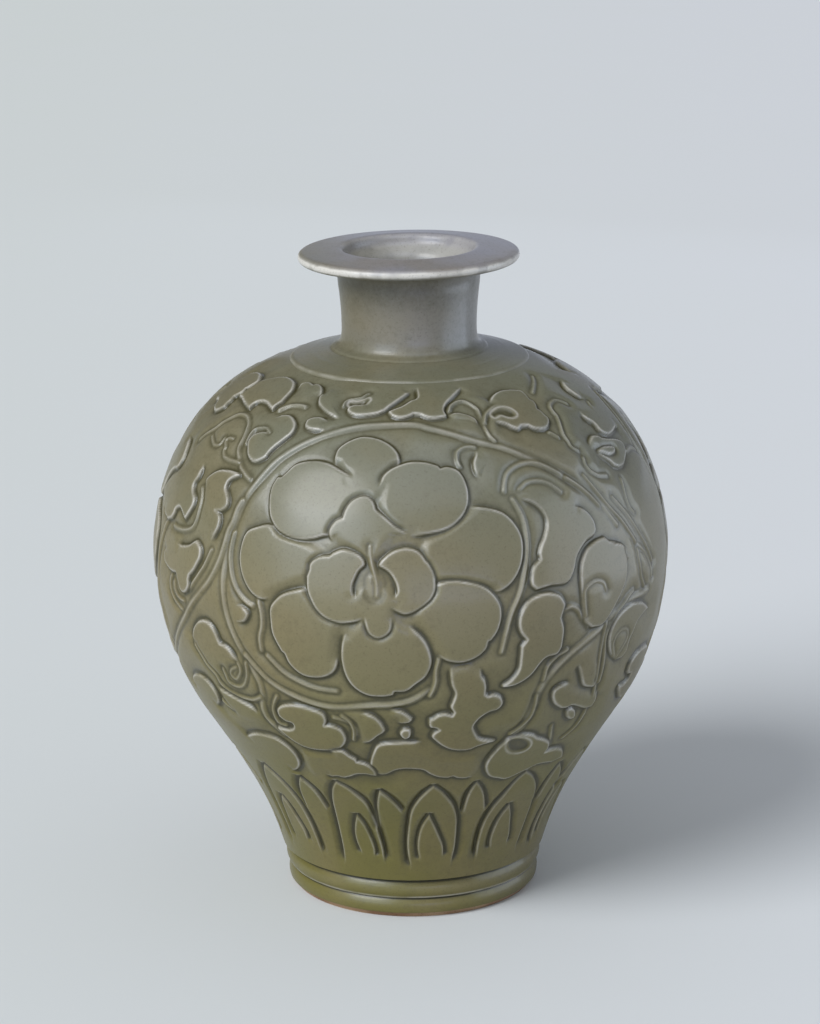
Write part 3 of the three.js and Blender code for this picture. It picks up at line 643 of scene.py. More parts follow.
INNER_TONGUES = {
    "first": [[(-21.2, 9.5), (-22.2, 13), (-22.4, 17), (-21.4, 21.5), (-19.6, 26.4)],
              [(-19.6, 26.4), (-17.4, 22.4), (-15.8, 17.5), (-14.6, 12), (-14.8, 9)]],
    "second": [[(2.2, 8), (1.4, 12), (1.6, 17), (3, 22.6), (5.6, 27.6)],
               [(5.6, 27.6), (7.8, 22.6), (10, 17.6), (12, 13), (12.4, 9)]],
    "third": [[(31.8, 9), (31, 12.5), (31.2, 17.5), (32.4, 22.4), (35, 27.4)],
              [(35, 27.4), (37.6, 22.6), (39.4, 17.6), (41, 13), (41, 9.5)]],
    "fourth": [[(-55.4, 9), (-56, 13), (-55.6, 18), (-54.4, 23), (-52, 27)],
               [(-52, 27), (-49.8, 22.4), (-48.2, 17.4), (-46.8, 13), (-46.8, 9.5)]],
}
NARROW_PETALS = {
    "first": [[(-12.4, 20), (-12.2, 25), (-12, 30), (-11.2, 35), (-10.2, 38.4)],
              [(-10.2, 38.4), (-7.6, 35.6), (-5.2, 32.4), (-3, 28.5)]],
    "second": [[(16.6, 26), (17, 34), (18.2, 38.4), (19.4, 40.6)],
               [(19.4, 40.6), (21.6, 37.6), (23.6, 33.4), (25.4, 27)]],
    "third": [[(48.2, 24), (48.8, 32), (50.2, 36.6), (51.8, 39.4)],
              [(51.8, 39.4), (54.4, 36.4), (56.6, 32.4), (58.6, 26)]],
    "fourth": [[(-40, 24), (-39.4, 32), (-38, 36.6), (-36.4, 39.6)],
               [(-36.4, 39.6), (-34, 37), (-31.6, 33), (-29.8, 26)]],
}

# What comes again on the unseen side: leaves moved by (degrees, millimetres), and lotus petals by degrees
SIDE_LEAVES = {
    "round leaf": (47, 0),
    "boot leaf": (80, 0),
    "curling leaf": (95, 5),
    "tall right leaf": (59, 12),
    "upper right leaf": (60, -2),
    "border leaf": (90, -1),
}
SIDE_PETALS = {"second": (59, 90)}

# The carving comes twice round the vase; this half holds the photographed front
HALF_START = -90.0
HALF = 180.0
GRID_STEP = 0.2
LEAST_RADIUS = 20
ROWS_KEPT_BACK = 1.001


def bezier(start, first, second, end, steps):
    """Cubic Bezier curve: the four points weighed by the cubic Bernstein terms of an even share."""
    share = np.linspace(0, 1, steps)[:, None]
    rest = 1 - share
    start, first, second, end = (np.array(place, float) for place in (start, first, second, end))
    return (
        rest ** 3 * start
        + 3 * rest ** 2 * share * first
        + 3 * rest * share ** 2 * second
        + share ** 3 * end
    )


def fillet(start, corner, end):
    """Quadratic Bezier curve from start to end, drawn towards the corner."""
    share = np.linspace(0, 1, FILLET_STEPS)[:, None]
    start, corner, end = (np.array(place, float) for place in (start, corner, end))
    return (1 - share) ** 2 * start + 2 * (1 - share) * share * corner + share ** 2 * end


def handle(length, degrees):
    """A step (out, up) of some length that leans out from the vertical by some degrees."""
    return length * np.array([math.sin(math.radians(degrees)), math.cos(math.radians(degrees))])


def arc_lengths(path):
    """Length along a broken line from its start to each of its points."""
    return np.concatenate([[0], np.cumsum(np.linalg.norm(np.diff(path, axis=0), axis=1))])


def resample(path, step):
    """The same path with points about one step apart, at equal arc lengths."""
    lengths = arc_lengths(path)
    count = max(int(round(lengths[-1] / step)), 2)
    wanted = np.linspace(0, lengths[-1], count + 1)
    return np.column_stack([np.interp(wanted, lengths, path[:, axis]) for axis in range(2)])


def densified(points, step):
    """A broken line with extra points about one step apart, its corners kept."""
    points = np.array(points, float)
    parts = [points[:1]]
    for start, end in zip(points[:-1], points[1:]):
        count = max(int(math.ceil(np.linalg.norm(end - start) / step)), 1)
        share = np.linspace(0, 1, count + 1)[1:, None]
        parts.append(start + (end - start) * share)
    return np.vstack(parts)


def rounded(path, passes):
    """The path with its corners eased: 1 2 1 weights along it, the two ends kept."""
    soft = path.copy()
    for _ in range(passes):
        soft[1:-1] = (soft[:-2] + 2 * soft[1:-1] + soft[2:]) / 4
    return soft


def side_of(path):
    """Unit normals to the right of a path as it is followed, from central differences."""
    slope = np.gradient(path, axis=0)
    slope /= np.linalg.norm(slope, axis=1)[:, None]
    return np.column_stack([slope[:, 1], -slope[:, 0]])


def soften(values, passes):
    """Values blurred with the weights 1 2 1 up the rows and then round the columns, some number of times."""
    soft = values.copy()
    for _ in range(passes):
        padded = np.pad(soft, ((1, 1), (0, 0)), mode="edge")
        soft = (padded[:-2] + 2 * padded[1:-1] + padded[2:]) / 4
        soft = (np.roll(soft, 1, axis=1) + 2 * soft + np.roll(soft, -1, axis=1)) / 4
    return soft


def eased(values):
    """Smoothstep: 0 below 0, 1 above 1, and an S curve between."""
    share = np.clip(values, 0, 1)
    return share * share * (3 - 2 * share)


def bell(values, width):
    """1 at 0, falling on both sides as e to the minus square of how many widths away a value is."""
    return np.exp(-(values / width) ** 2)


def fading(gap, reach, curve):
    """1 at no gap, falling to 0 at the reach, as the share that is left raised to a power."""
    return np.clip(1 - gap / reach, 0, 1) ** curve


def smooth_line(points, closed=False):
    """Catmull-Rom curve through the points, open or closed."""
    places = np.array(points, float)
    if closed:
        ring = np.vstack([places[-1], places, places[0], places[1]])
    else:
        ring = np.vstack([2 * places[0] - places[1], places, 2 * places[-1] - places[-2]])
    share = np.linspace(0, 1, CURVE_STEPS, endpoint=False)[None, :, None]
    a, b, c, d = (ring[offset:len(ring) - 3 + offset, None, :] for offset in range(4))
    curve = 0.5 * (
        2 * b + (c - a) * share
        + (2 * a - 5 * b + 4 * c - d) * share ** 2
        + (3 * b - a - 3 * c + d) * share ** 3
    )
    curve = curve.reshape(-1, 2)
    return curve if closed else np.vstack([curve, places[-1]])


def outline_of(lobes, closing):
    """Closed outline, and how sharp it is at each point: 1 along the lobes and 0 along the closing line.

    Each lobe is smoothed on its own, so that notches stay sharp where two lobes meet.
    """
    if len(lobes) == 1 and not closing:
        line = smooth_line(lobes[0], closed=True)
        sharp = np.ones(len(line))
    else:
        line = np.vstack([smooth_line(lobe) for lobe in lobes])
        sharp = np.ones(len(line))
        if closing:
            lengths = arc_lengths(line * [DEGREE_WIDTH, 1.0])
            ends = np.minimum(lengths, lengths[-1] - lengths)
            sharp = eased(ends / OPEN_TAPER + OPEN_END)
            line = np.vstack([line, smooth_line([lobes[-1][-1], *closing, lobes[0][0]])[1:-1]])
            sharp = np.concatenate([sharp, np.zeros(len(line) - len(sharp))])
    return np.vstack([line, line[:1]]), np.append(sharp, sharp[0])


# Glazed wall from the groove above the foot up to the collar
clay_wall = np.vstack([
    bezier(
        WALL_START,
        WALL_START + handle(*START_HANDLE),
        FLANK - handle(*FLANK_HANDLE_BELOW),
        FLANK,
        WALL_STEPS[0],
    ),
    bezier(
        FLANK,
        FLANK + handle(*FLANK_HANDLE_ABOVE),
        BELLY - handle(*BELLY_HANDLE_BELOW),
        BELLY,
        WALL_STEPS[1],
    )[1:],
    bezier(
        BELLY,
        BELLY + handle(*BELLY_HANDLE_ABOVE),
        COLLAR_FOOT + handle(*COLLAR_HANDLE),
        COLLAR_FOOT,
        WALL_STEPS[2],
    )[1:],
])
glazed_wall = clay_wall + COAT * side_of(clay_wall)
wall_side = side_of(glazed_wall)
wall_lengths = arc_lengths(glazed_wall)
WALL_LENGTH = float(wall_lengths[-1])


def wall_radius(rise):
    """Radius of the glazed wall at a length up along it."""
    return np.interp(rise, wall_lengths, glazed_wall[:, 0])


def distance_to(line, x, y):
    """Distance from each place to a broken line, the number of its nearest bit, and the share along it."""
    start = line[:-1]
    along = line[1:] - start
    square = np.maximum((along ** 2).sum(axis=1), TINY)
    across = x[..., None] - start[:, 0]
    up = y[..., None] - start[:, 1]
    share = np.clip((across * along[:, 0] + up * along[:, 1]) / square, 0, 1)
    gaps = (across - share * along[:, 0]) ** 2 + (up - share * along[:, 1]) ** 2
    nearest = gaps.argmin(axis=-1)
    least = np.take_along_axis(gaps, nearest[..., None], axis=-1)[..., 0]
    return np.sqrt(least), nearest, np.take_along_axis(share, nearest[..., None], axis=-1)[..., 0]


def inside(line, x, y):
    """True where a ray to the right crosses the closed line an odd number of times."""
    start, end = line[:-1], line[1:]
    spans = (start[:, 1] > y[..., None]) != (end[:, 1] > y[..., None])
    rise = np.where(end[:, 1] == start[:, 1], TINY, end[:, 1] - start[:, 1])
    meet = start[:, 0] + (end[:, 0] - start[:, 0]) * (y[..., None] - start[:, 1]) / rise
    return (spans & (x[..., None] < meet)).sum(axis=-1) % 2 == 1


def side_sign(line, x, y):
    """1 where the nearest bit of the line has the place on its left, -1 where it is on its right."""
    middle = (line[:-1] + line[1:]) / 2
    along = line[1:] - line[:-1]
    far = (x[..., None] - middle[:, 0]) ** 2 + (y[..., None] - middle[:, 1]) ** 2
    nearest = far.argmin(axis=-1)
    cross = along[nearest, 0] * (y - middle[nearest, 1]) - along[nearest, 1] * (x - middle[nearest, 0])
    return np.where(cross > 0, 1, -1)


class Carving:
    """Relief of half of the way round, on a grid of degrees and of millimetres up the wall."""

    def __init__(self):
        self.columns = int(round(HALF / 360 * FULL_TURN * float(glazed_wall[:, 0].max()) / GRID_STEP))
        self.rows = int(round(WALL_LENGTH / GRID_STEP)) + 1
        self.rise = np.linspace(0, WALL_LENGTH, self.rows)
        self.radius = wall_radius(self.rise)
        self.column_step = HALF / self.columns
        self.height = np.zeros((self.rows, self.columns))
        self.rim = np.zeros((self.rows, self.columns))
        self.pool = np.zeros((self.rows, self.columns))

    def window(self, line, margin):
        """Rows, columns and flat places (x, y) in millimetres round a line, and the line laid flat too."""
        middle = (line[:, 0].min() + line[:, 0].max()) / 2
        low = line[:, 1].min() - margin
        high = line[:, 1].max() + margin
        rows = np.flatnonzero((self.rise >= low) & (self.rise <= high))
        least = max(self.radius[rows].min(), LEAST_RADIUS)
        wide = math.degrees(margin / least)
        first = int(math.floor((line[:, 0].min() - wide - HALF_START) / self.column_step))
        last = int(math.ceil((line[:, 0].max() + wide - HALF_START) / self.column_step))
        steps = np.arange(first, last + 1)
        turn = np.radians(HALF_START + steps * self.column_step - middle)
        x = turn[None, :] * self.radius[rows][:, None]
        y = np.broadcast_to(self.rise[rows][:, None], x.shape)
        flat = np.column_stack([np.radians(line[:, 0] - middle) * wall_radius(line[:, 1]), line[:, 1]])
        return rows, steps % self.columns, x, y, flat

    def around(self, shape):
        """The window round a shape, the signed distance to its outline, and how sharp that is nearby."""
        line, sharpness = outline_of(*shape)
        rows, columns, x, y, flat = self.window(line, GROUND_REACH + OUTLINE_MARGIN)
        gap, nearest, share = distance_to(flat, x, y)
        sharp = sharpness[nearest] * (1 - share) + sharpness[nearest + 1] * share
        return rows, columns, gap * np.where(inside(flat, x, y), -1, 1), sharp

    def clear(self, rows, columns, gap, sharp):
        """Cuts the ground down round a leaf or petal, in a long slope that is deepest at its edge."""
        place = np.ix_(rows, columns)
        share = sharp * fading(np.maximum(gap, 0), GROUND_REACH, GROUND_CURVE)
        self.height[place] += (-GROUND_DEPTH - self.height[place]) * share

    def paint(self, rows, columns, gap, sharp):
        """Lays a raised shape over what is there: flat inside, a steep edge, and a slope cut away outside.

        gap is the signed distance to the shape's edge, below 0 inside it. Where sharp is 0 the edge fades.
        """
        place = np.ix_(rows, columns)
        old = self.height[place]
        outside = np.maximum(gap, 0)
        cut = old + np.minimum(-CUT_DEPTH - old, 0) * sharp * fading(outside, CUT_REACH, 2)
        cover = sharp + (1 - sharp) * eased(-gap / OPEN_FADE)
        top = -EDGE_ROUND * sharp * bell(gap, EDGE_ROUND_REACH)
        wall = eased(outside / WALL_WIDTH)
        self.height[place] = np.where(
            gap < 0,
            old + (top - old) * cover,
            cut + (top - cut) * (1 - wall) * sharp,
        )
        line = bell(gap + RIM_PLACE, RIM_WIDTH) * sharp
        cleared = sharp * (1 - eased((outside - RIM_CLEAR_FROM) / RIM_CLEAR_REACH))
        self.rim[place] = np.where(
            gap < 0,
            np.maximum(self.rim[place] * (1 - cover), line),
            np.maximum(self.rim[place] * (1 - cleared), line),
        )
        shade = bell(outside - POOL_PLACE, POOL_WIDTH) * sharp
        cleared = sharp * (1 - eased(outside / POOL_CLEAR_REACH))
        self.pool[place] = np.where(
            gap < 0,
            self.pool[place] * (1 - cover),
            np.maximum(self.pool[place] * (1 - cleared), shade),
        )

    def stem(self, width, points, relief=STEM_DEPTH):
        """A raised stem of one width along a curve: a ridge with a narrow crest and slopes on both sides."""
        line = smooth_line(points)
        margin = STEM_REACH + width
        band = (self.rise >= line[:, 1].min() - margin) & (self.rise <= line[:, 1].max() + margin)
        first = int(np.flatnonzero(band)[0])
        gap = np.full((int(band.sum()), self.columns), FAR_AWAY)
        for start in range(0, len(line) - 1, STEM_CHUNK):
            rows, columns, x, y, flat = self.window(line[start:start + STEM_CHUNK + 1], margin)
            place = np.ix_(rows - first, columns)
            gap[place] = np.minimum(gap[place], distance_to(flat, x, y)[0])
        half = width / 2
        height, rim, pool = self.height[band], self.rim[band], self.pool[band]
        side = np.maximum(gap - half * STEM_CREST_SHARE, 0)
        cut = height + np.minimum(-relief - height, 0) * fading(side, STEM_REACH, 2)
        crest = -STEM_CREST - STEM_ROUND * np.clip(gap / half, 0, 1) ** STEM_ROUND_CURVE
        wall = eased(side / (half * STEM_SLOPE_SHARE + STEM_SLOPE))
        near = gap < STEM_REACH + half
        light = bell(gap, half * STEM_PALE_SHARE) * STEM_PALE
        shade = bell(gap - half - STEM_SHADE_PLACE, STEM_SHADE_WIDTH) * STEM_SHADE
        clear = eased((gap - half) / STEM_CLEAR_REACH)
        self.height[band] = np.where(near, cut * wall + crest * (1 - wall), height)
        self.rim[band] = np.where(near, np.maximum(rim * clear, light), rim)
        self.pool[band] = np.where(near, np.maximum(pool * clear, shade), pool)

    def hollow(self, points):
        """A dished eye inside a closed curve: dark glaze in its middle and a pale line round its edge."""
        rows, columns, gap, _ = self.around(([points], []))
        place = np.ix_(rows, columns)
        self.height[place] -= HOLLOW_DEPTH * eased(-gap / HOLLOW_SLOPE)
        self.pool[place] = np.maximum(self.pool[place], HOLLOW_POOL * eased(-gap / HOLLOW_POOL_REACH))
        edge = HOLLOW_RIM * bell(gap - HOLLOW_RIM_PLACE, HOLLOW_RIM_WIDTH)
        self.rim[place] = np.maximum(self.rim[place], edge)

    def groove(self, arch, width, depth):
        """A groove round an arch of two lobes: steep towards the petal on its right, sloping on its left."""
        line = np.vstack([smooth_line(lobe) for lobe in arch])
        rows, columns, x, y, flat = self.window(line, width + GROOVE_MARGIN)
        gap, nearest, share = distance_to(flat, x, y)
        petal_side = side_sign(flat, x, y) < 0
        along = (nearest + share) / (len(line) - 1)
        taper = eased(np.minimum(along, 1 - along) / GROOVE_TAPER + GROOVE_END)
        place = np.ix_(rows, columns)
        steep = 1 - eased(gap / GROOVE_STEEP)
        fade = np.where(petal_side, steep, fading(gap, width, GROOVE_CURVE)) * taper
        self.height[place] = np.minimum(self.height[place], -depth * fade)
        edge = bell(gap - GROOVE_RIM_PLACE, GROOVE_RIM_WIDTH)
        edge = np.where(petal_side, edge, 0) * GROOVE_RIM * taper
        self.rim[place] = np.maximum(self.rim[place] * (1 - fade), edge)
        self.pool[place] = np.maximum(self.pool[place], GROOVE_POOL * fade ** GROOVE_POOL_CURVE)


def moved(points, turn, lift=0.0):
    """The points turned some degrees round the vase and lifted some millimetres."""
    return [(degrees + turn, rise + lift) for degrees, rise in points]


def moved_leaf(name, turn, lift):
    """The lobes and closing line of a leaf, turned and lifted."""
    lobes, closing = LEAVES[name]
    return [moved(lobe, turn, lift) for lobe in lobes], moved(closing, turn, lift)


def all_round(petals):
    """The arches of a row of petals, with those that come again at the sides."""
    again = [(name, turn) for name, turns in SIDE_PETALS.items() for turn in turns]
    return [*petals.values(), *([moved(lobe, turn) for lobe in petals[name]] for name, turn in again)]


# The ground is cleared first and softened; what is carved later lies over what was carved before
carving = Carving()
side_leaves = [moved_leaf(name, *way) for name, way in SIDE_LEAVES.items()]
raised = [carving.around(shape) for shape in [*LEAVES.values(), *side_leaves, *FLOWER.values()]]
for found in raised:
    carving.clear(*found)
carving.height = soften(carving.height, GROUND_PASSES)
for petals, groove in (
    (NARROW_PETALS, PETAL_GROOVE),
    (BROAD_PETALS, PETAL_GROOVE),
    (INNER_TONGUES, TONGUE_GROOVE),
):
    for arch in all_round(petals):
        carving.groove(arch, *groove)
for width, points in STEMS.values():
    carving.stem(width, points)
for found in raised:
    carving.paint(*found)
for points in HOLLOWS.values():
    carving.hollow(points)
for width, relief, points in RIDGES.values():
    carving.stem(width, points, relief)

carving.height = soften(carving.height, MELT_PASSES)
glaze_level = soften(carving.height, LEVEL_PASSES)
carving.thickness = soften(glaze_level - THICKNESS_GAIN * carving.height, THICKNESS_PASSES)


def carved(field, degrees, rise):
    """A field of the carving at places (degrees round, millimetres up), by bilinear weights."""
    column = (degrees - HALF_START) / carving.column_step
    row = np.clip(rise / WALL_LENGTH * (carving.rows - 1), 0, carving.rows - ROWS_KEPT_BACK)
    left = np.floor(column).astype(int)
    low = np.floor(row).astype(int)
    across = column - left
    up = row - low
    left, right = left % carving.columns, (left + 1) % carving.columns
    bottom = field[low, left] * (1 - across) + field[low, right] * across
    top = field[low + 1, left] * (1 - across) + field[low + 1, right] * across
    return bottom * (1 - up) + top * up


def leaned(places):
    """The places with the mouth a little low on its left: a drop that grows from the neck's waist up."""
    share = eased((places[:, 2] - NECK_WAIST[1]) / (LIP_UNDER - NECK_WAIST[1]))
    drop = LIP_DROP * share * (0.5 - places[:, 0] / (2 * LIP_RADIUS))
    return places - drop[:, None] * [0.0, 0.0, 1.0]


def mesh_object(name, places, faces, smooth_normals=None, attributes=None):
    """A mesh from arrays of places in millimetres and of faces, each a whole array of corner numbers."""
    mesh = bpy.data.meshes.new(name)
    places = leaned(places.reshape(-1, 3)) * MM
    mesh.vertices.add(len(places))
    mesh.vertices.foreach_set("co", places.ravel())
    corners = np.concatenate([group.ravel() for group in faces])
    sizes = np.concatenate([np.full(len(group), group.shape[1]) for group in faces])
    mesh.loops.add(len(corners))
    mesh.loops.foreach_set("vertex_index", corners.astype(np.int32))
    mesh.polygons.add(len(sizes))
    starts = np.concatenate([[0], np.cumsum(sizes)[:-1]])
    mesh.polygons.foreach_set("loop_start", starts.astype(np.int32))
    mesh.update(calc_edges=True)
    mesh.polygons.foreach_set("use_smooth", np.ones(len(sizes), bool))
    for key, values in (attributes or {}).items():
        layer = mesh.attributes.new(key, "FLOAT", "POINT")
        layer.data.foreach_set("value", values.ravel().astype(np.float32))
    mesh.validate()
    if smooth_normals is not None:
        mesh.normals_split_custom_set_from_vertices(smooth_normals.reshape(-1, 3).tolist())
    item = bpy.data.objects.new(name, mesh)
    bpy.context.scene.collection.objects.link(item)
    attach(item, "root")
    return item


def ring_faces(loops, columns):
    """Quads between the loops of a closed ring, which joins up both round the axis and round its section."""
    loop = np.arange(loops)[:, None]
    column = np.arange(columns)[None, :]
    next_loop = (loop + 1) % loops
    next_column = (column + 1) % columns
    quads = np.stack([
        loop * columns + column,
        loop * columns + next_column,
        next_loop * columns + next_column,
        next_loop * columns + column,
    ], axis=-1)
    return quads.reshape(-1, 4)


def turned_places(section, columns):
    """Places of a section (radius, height) turned about Z; column 0 faces the camera."""
    angle = np.arange(columns) * FULL_TURN / columns
    radius = section[:, 0][:, None]
    return np.stack([
        radius * np.sin(angle),
        -radius * np.cos(angle),
        np.broadcast_to(section[:, 1][:, None], (len(section), columns)),
    ], axis=-1)


def sharpened(item):
    """The piece with its edges kept sharp where two faces meet at more than some degrees."""
    item.data.set_sharp_from_angle(angle=math.radians(SHARP_DEGREES))
    return item


def turned_ring(name, outer, inner, columns, attributes=None):
    """A turned ring between an outer path and an inner one, both followed the same way.

    attributes holds a value, or a row of values round the axis, per outer point; inner points take 0.
    """
    section = np.vstack([outer, inner[::-1]])
    values = {}
    for key, row in (attributes or {}).items():
        whole = np.zeros((len(section), columns))
        whole[:len(outer)] = row.reshape(len(outer), -1)
        values[key] = whole
    places = turned_places(section, columns)
    return sharpened(mesh_object(name, places, [ring_faces(len(section), columns)], attributes=values))


def turned_solid(name, path, columns):
    """A turned solid whose path starts and ends on the axis, closed there by fans of triangles."""
    middle = path[1:-1]
    ends = np.array([[0, 0, path[0][1]], [0, 0, path[-1][1]]])
    places = np.vstack([turned_places(middle, columns).reshape(-1, 3), ends])
    last = (len(middle) - 1) * columns
    quads = ring_faces(len(middle), columns)[:last]
    column = np.arange(columns)
    next_column = (column + 1) % columns
    first_end = np.full(columns, len(places) - 2)
    last_end = np.full(columns, len(places) - 1)
    start_fan = np.stack([first_end, next_column, column], axis=-1)
    end_fan = np.stack([last_end, last + column, last + next_column], axis=-1)
    return sharpened(mesh_object(name, places, [quads, start_fan, end_fan]))


def band_face(band):
    """Rounded band of the foot: full at its middle, less a parabola towards both grooves."""
    radius, bottom, height = band
    share = np.linspace(0, 1, BAND_STEPS)
    return np.column_stack([radius - BAND_GROOVE_DEPTH * (2 * share - 1) ** 2, bottom + height * share])


# Carved skin: rings of glaze one above another, whose edges share places and normals. Their columns crowd
# together towards the front.
SKIN_RINGS = 7
SKIN_COLUMNS = 1500
SKIN_ROWS = 60
SKIN_INNER_ROWS = 4
SKIN_DEPTH = 2.1
FRONT_CROWDING = 0.2

# Round the back, from FRONT_EDGE degrees on, the copied carving sways, so that it isn't quite the front's
FRONT_EDGE = 85
BACK_BLEND = 40
SWAY_ROUND = 1.3
SWAY_UP = 1.1

# Unevenness of the hand-thrown wall, broad and in turning lines
WALL_WOBBLE = 0.05
TURNING_LINES = 0.04
TURNING_LINE_RISE = 2.1

# Waves of the sways and of the broad unevenness, as (waves round, degrees of start, millimetres per radian)
SWAY_ROUND_WAVES = (5, 0, 23)
SWAY_UP_WAVES = (7, 40, 31)
WALL_WAVES = (3, 0, 17)


def wave(degrees, rise, waves, start, length):
    """Sine of some waves round the vase from a start in degrees, which winds by a radian per length up."""
    return np.sin(np.radians(waves * degrees + start) + rise / length)


def wall_places(rise, degrees, offset):
    """Places on the glazed wall, moved out along its normal by an offset."""
    out = np.interp(rise, wall_lengths, wall_side[:, 0])
    up = np.interp(rise, wall_lengths, wall_side[:, 1])
    angle = np.radians(degrees)
    reach = wall_radius(rise) + offset * out
    height = np.interp(rise, wall_lengths, glazed_wall[:, 1]) + offset * up
    return np.stack([reach * np.sin(angle), -reach * np.cos(angle), height], axis=-1)


def grid_normals(places):
    """Unit normals of a grid that runs up and round the axis, from differences of its neighbours."""
    up = np.gradient(places, axis=0)
    round_axis = np.roll(places, -1, axis=1) - np.roll(places, 1, axis=1)
    normal = np.cross(round_axis, up)
    return normal / np.linalg.norm(normal, axis=-1, keepdims=True)


def carved_skin():
    """The glazed wall: a fine carved face outside and a plain one some way inside, ring by ring.

    The carved face is the wall moved along its normal by the relief and the wall's unevenness.
    """
    rise = np.linspace(0, WALL_LENGTH, SKIN_RINGS * SKIN_ROWS + 1)[:, None]
    turn = np.arange(SKIN_COLUMNS) / SKIN_COLUMNS * FULL_TURN
    degrees = np.degrees(turn + FRONT_CROWDING * np.sin(turn))[None, :] - 180
    rise, degrees = np.broadcast_arrays(rise, degrees)
    back = eased((np.abs(degrees) - FRONT_EDGE) / BACK_BLEND)
    fade = np.sin(math.pi * rise / WALL_LENGTH)
    turned = degrees + back * SWAY_ROUND * wave(degrees, rise, *SWAY_ROUND_WAVES) * fade
    lifted = rise + back * SWAY_UP * wave(degrees, rise, *SWAY_UP_WAVES) * fade
    wobble = (
        WALL_WOBBLE * (wave(degrees, rise, *WALL_WAVES) - 1)
        + TURNING_LINES * (np.sin(rise / TURNING_LINE_RISE) - 1)
    )
    places = wall_places(rise, degrees, carved(carving.height, turned, lifted) + wobble * fade)
    normals = grid_normals(places)
    fields = {key: carved(getattr(carving, key), turned, lifted) for key in ("rim", "pool", "thickness")}
    rings = []
    for ring in range(SKIN_RINGS):
        first = ring * SKIN_ROWS
        last = first + SKIN_ROWS
        inner_rise = np.linspace(rise[last, 0], rise[first, 0], SKIN_INNER_ROWS)[:, None]
        inner_rise, around = np.broadcast_arrays(inner_rise, degrees[:1])
        inner = wall_places(inner_rise, around, -SKIN_DEPTH)
        inner_normals = -grid_normals(inner[::-1])[::-1]
        none = np.zeros(inner.shape[:2])
        rings.append(mesh_object(
            f"carved_glaze_{ring + 1}",
            np.concatenate([places[first:last + 1], inner]),
            [ring_faces(SKIN_ROWS + 1 + SKIN_INNER_ROWS, SKIN_COLUMNS)],
            np.concatenate([normals[first:last + 1], inner_normals]),
            {key: np.concatenate([field[first:last + 1], none]) for key, field in fields.items()},
        ))
    return rings


# Where a turned path bends outward the glaze is thin and pale, partly a painted highlight, and where it
# bends inward it pools
BEND_RIM_FROM = 0.3
BEND_RIM_MOST = 0.75
BEND_POOL_FROM = 0.15
BEND_POOL_MOST = 1.0
BEND_THICKNESS = 0.15
BEND_THICKNESS_RANGE = (-0.25, 0.4)


def bend_values(path, reach):
    """Rim, pool and thickness along a path: how sharply it bends outward or inward over some reach."""
    lengths = arc_lengths(path)
    slope = np.gradient(path, axis=0)
    angle = np.unwrap(np.arctan2(slope[:, 1], slope[:, 0]))
    ahead = np.interp(lengths + reach, lengths, angle)
    behind = np.interp(lengths - reach, lengths, angle)
    turn = ahead - behind
    return {
        "rim": np.clip(turn - BEND_RIM_FROM, 0, BEND_RIM_MOST),
        "pool": np.clip(-turn - BEND_POOL_FROM, 0, BEND_POOL_MOST),
        "thickness": np.clip(-turn * BEND_THICKNESS, *BEND_THICKNESS_RANGE),
    }


def inner_wall(curve, wall_below, wall_above):
    """A clay curve moved in by a thickness that changes evenly along it."""
    share = (arc_lengths(curve) / arc_lengths(curve)[-1])[:, None]
    return curve - (wall_below + (wall_above - wall_below) * share) * side_of(curve)


skin = carved_skin()

# Glaze on the foot's bands, from just above the bare standing edge to the groove under the wall
FOOT_HEM = 0.3
FOOT_GROOVE = (0.35, -0.25)
FOOT_STEP = 0.2
FOOT_COLUMNS = 300
FOOT_BEND_REACH = 0.7

foot_face = np.vstack([band_face(LOWER_BAND), band_face(UPPER_BAND)[1:]])
foot_outside = densified(np.vstack([
    foot_face[foot_face[:, 1] >= BARE_CLAY_TOP + FOOT_HEM] + [COAT, 0.0],
    clay_wall[:1] + FOOT_GROOVE,
]), FOOT_STEP)
foot_inside = foot_outside[::3] - [COAT_DEPTH, 0.0]
foot_values = bend_values(foot_outside, FOOT_BEND_REACH)
foot_coat = turned_ring("foot_glaze", foot_outside, foot_inside, FOOT_COLUMNS, foot_values)

# Paths of the clay's face over the collar, the neck, the lip, its roll and the funnel into the neck
NECK_FACE_STEP = 0.4

neck_foot = np.array([NECK_SEAT[0], NECK_SEAT[1] + NECK_FLANGE])
neck_face = densified([
    COLLAR_FOOT,
    (COLLAR_FOOT[0], COLLAR_FOOT[1] + COLLAR_STEP),
    NECK_SEAT,
    neck_foot,
], NECK_FACE_STEP)
neck_curve = np.vstack([
    fillet(neck_foot, (NECK_WAIST[0], neck_foot[1]), NECK_WAIST),
    fillet(NECK_WAIST, (NECK_WAIST[0], (NECK_WAIST[1] + NECK_TOP[1]) / 2), NECK_TOP)[1:],
])
edge_angle = np.linspace(-math.pi / 2, math.pi / 2, EDGE_STEPS)
lip_edge = np.column_stack([
    LIP_RADIUS - LIP_ROUND + LIP_ROUND * np.cos(edge_angle),
    LIP_UNDER + LIP_ROUND + LIP_ROUND * np.sin(edge_angle),
])
roll_angle = np.linspace(math.pi / 2, math.pi, ROLL_STEPS)
mouth_roll = np.column_stack([
    MOUTH_ROLL[0] + MOUTH_ROLL_SIZE[0] * np.cos(roll_angle),
    MOUTH_ROLL[1] + MOUTH_ROLL_SIZE[1] * np.sin(roll_angle),
])
funnel_top = mouth_roll[-1]
funnel_middle = (funnel_top[1] + FUNNEL_FOOT) / 2
funnel = bezier(
    funnel_top,
    (funnel_top[0], funnel_middle),
    (NECK_BORE, funnel_middle),
    (NECK_BORE, FUNNEL_FOOT),
    FUNNEL_STEPS,
)
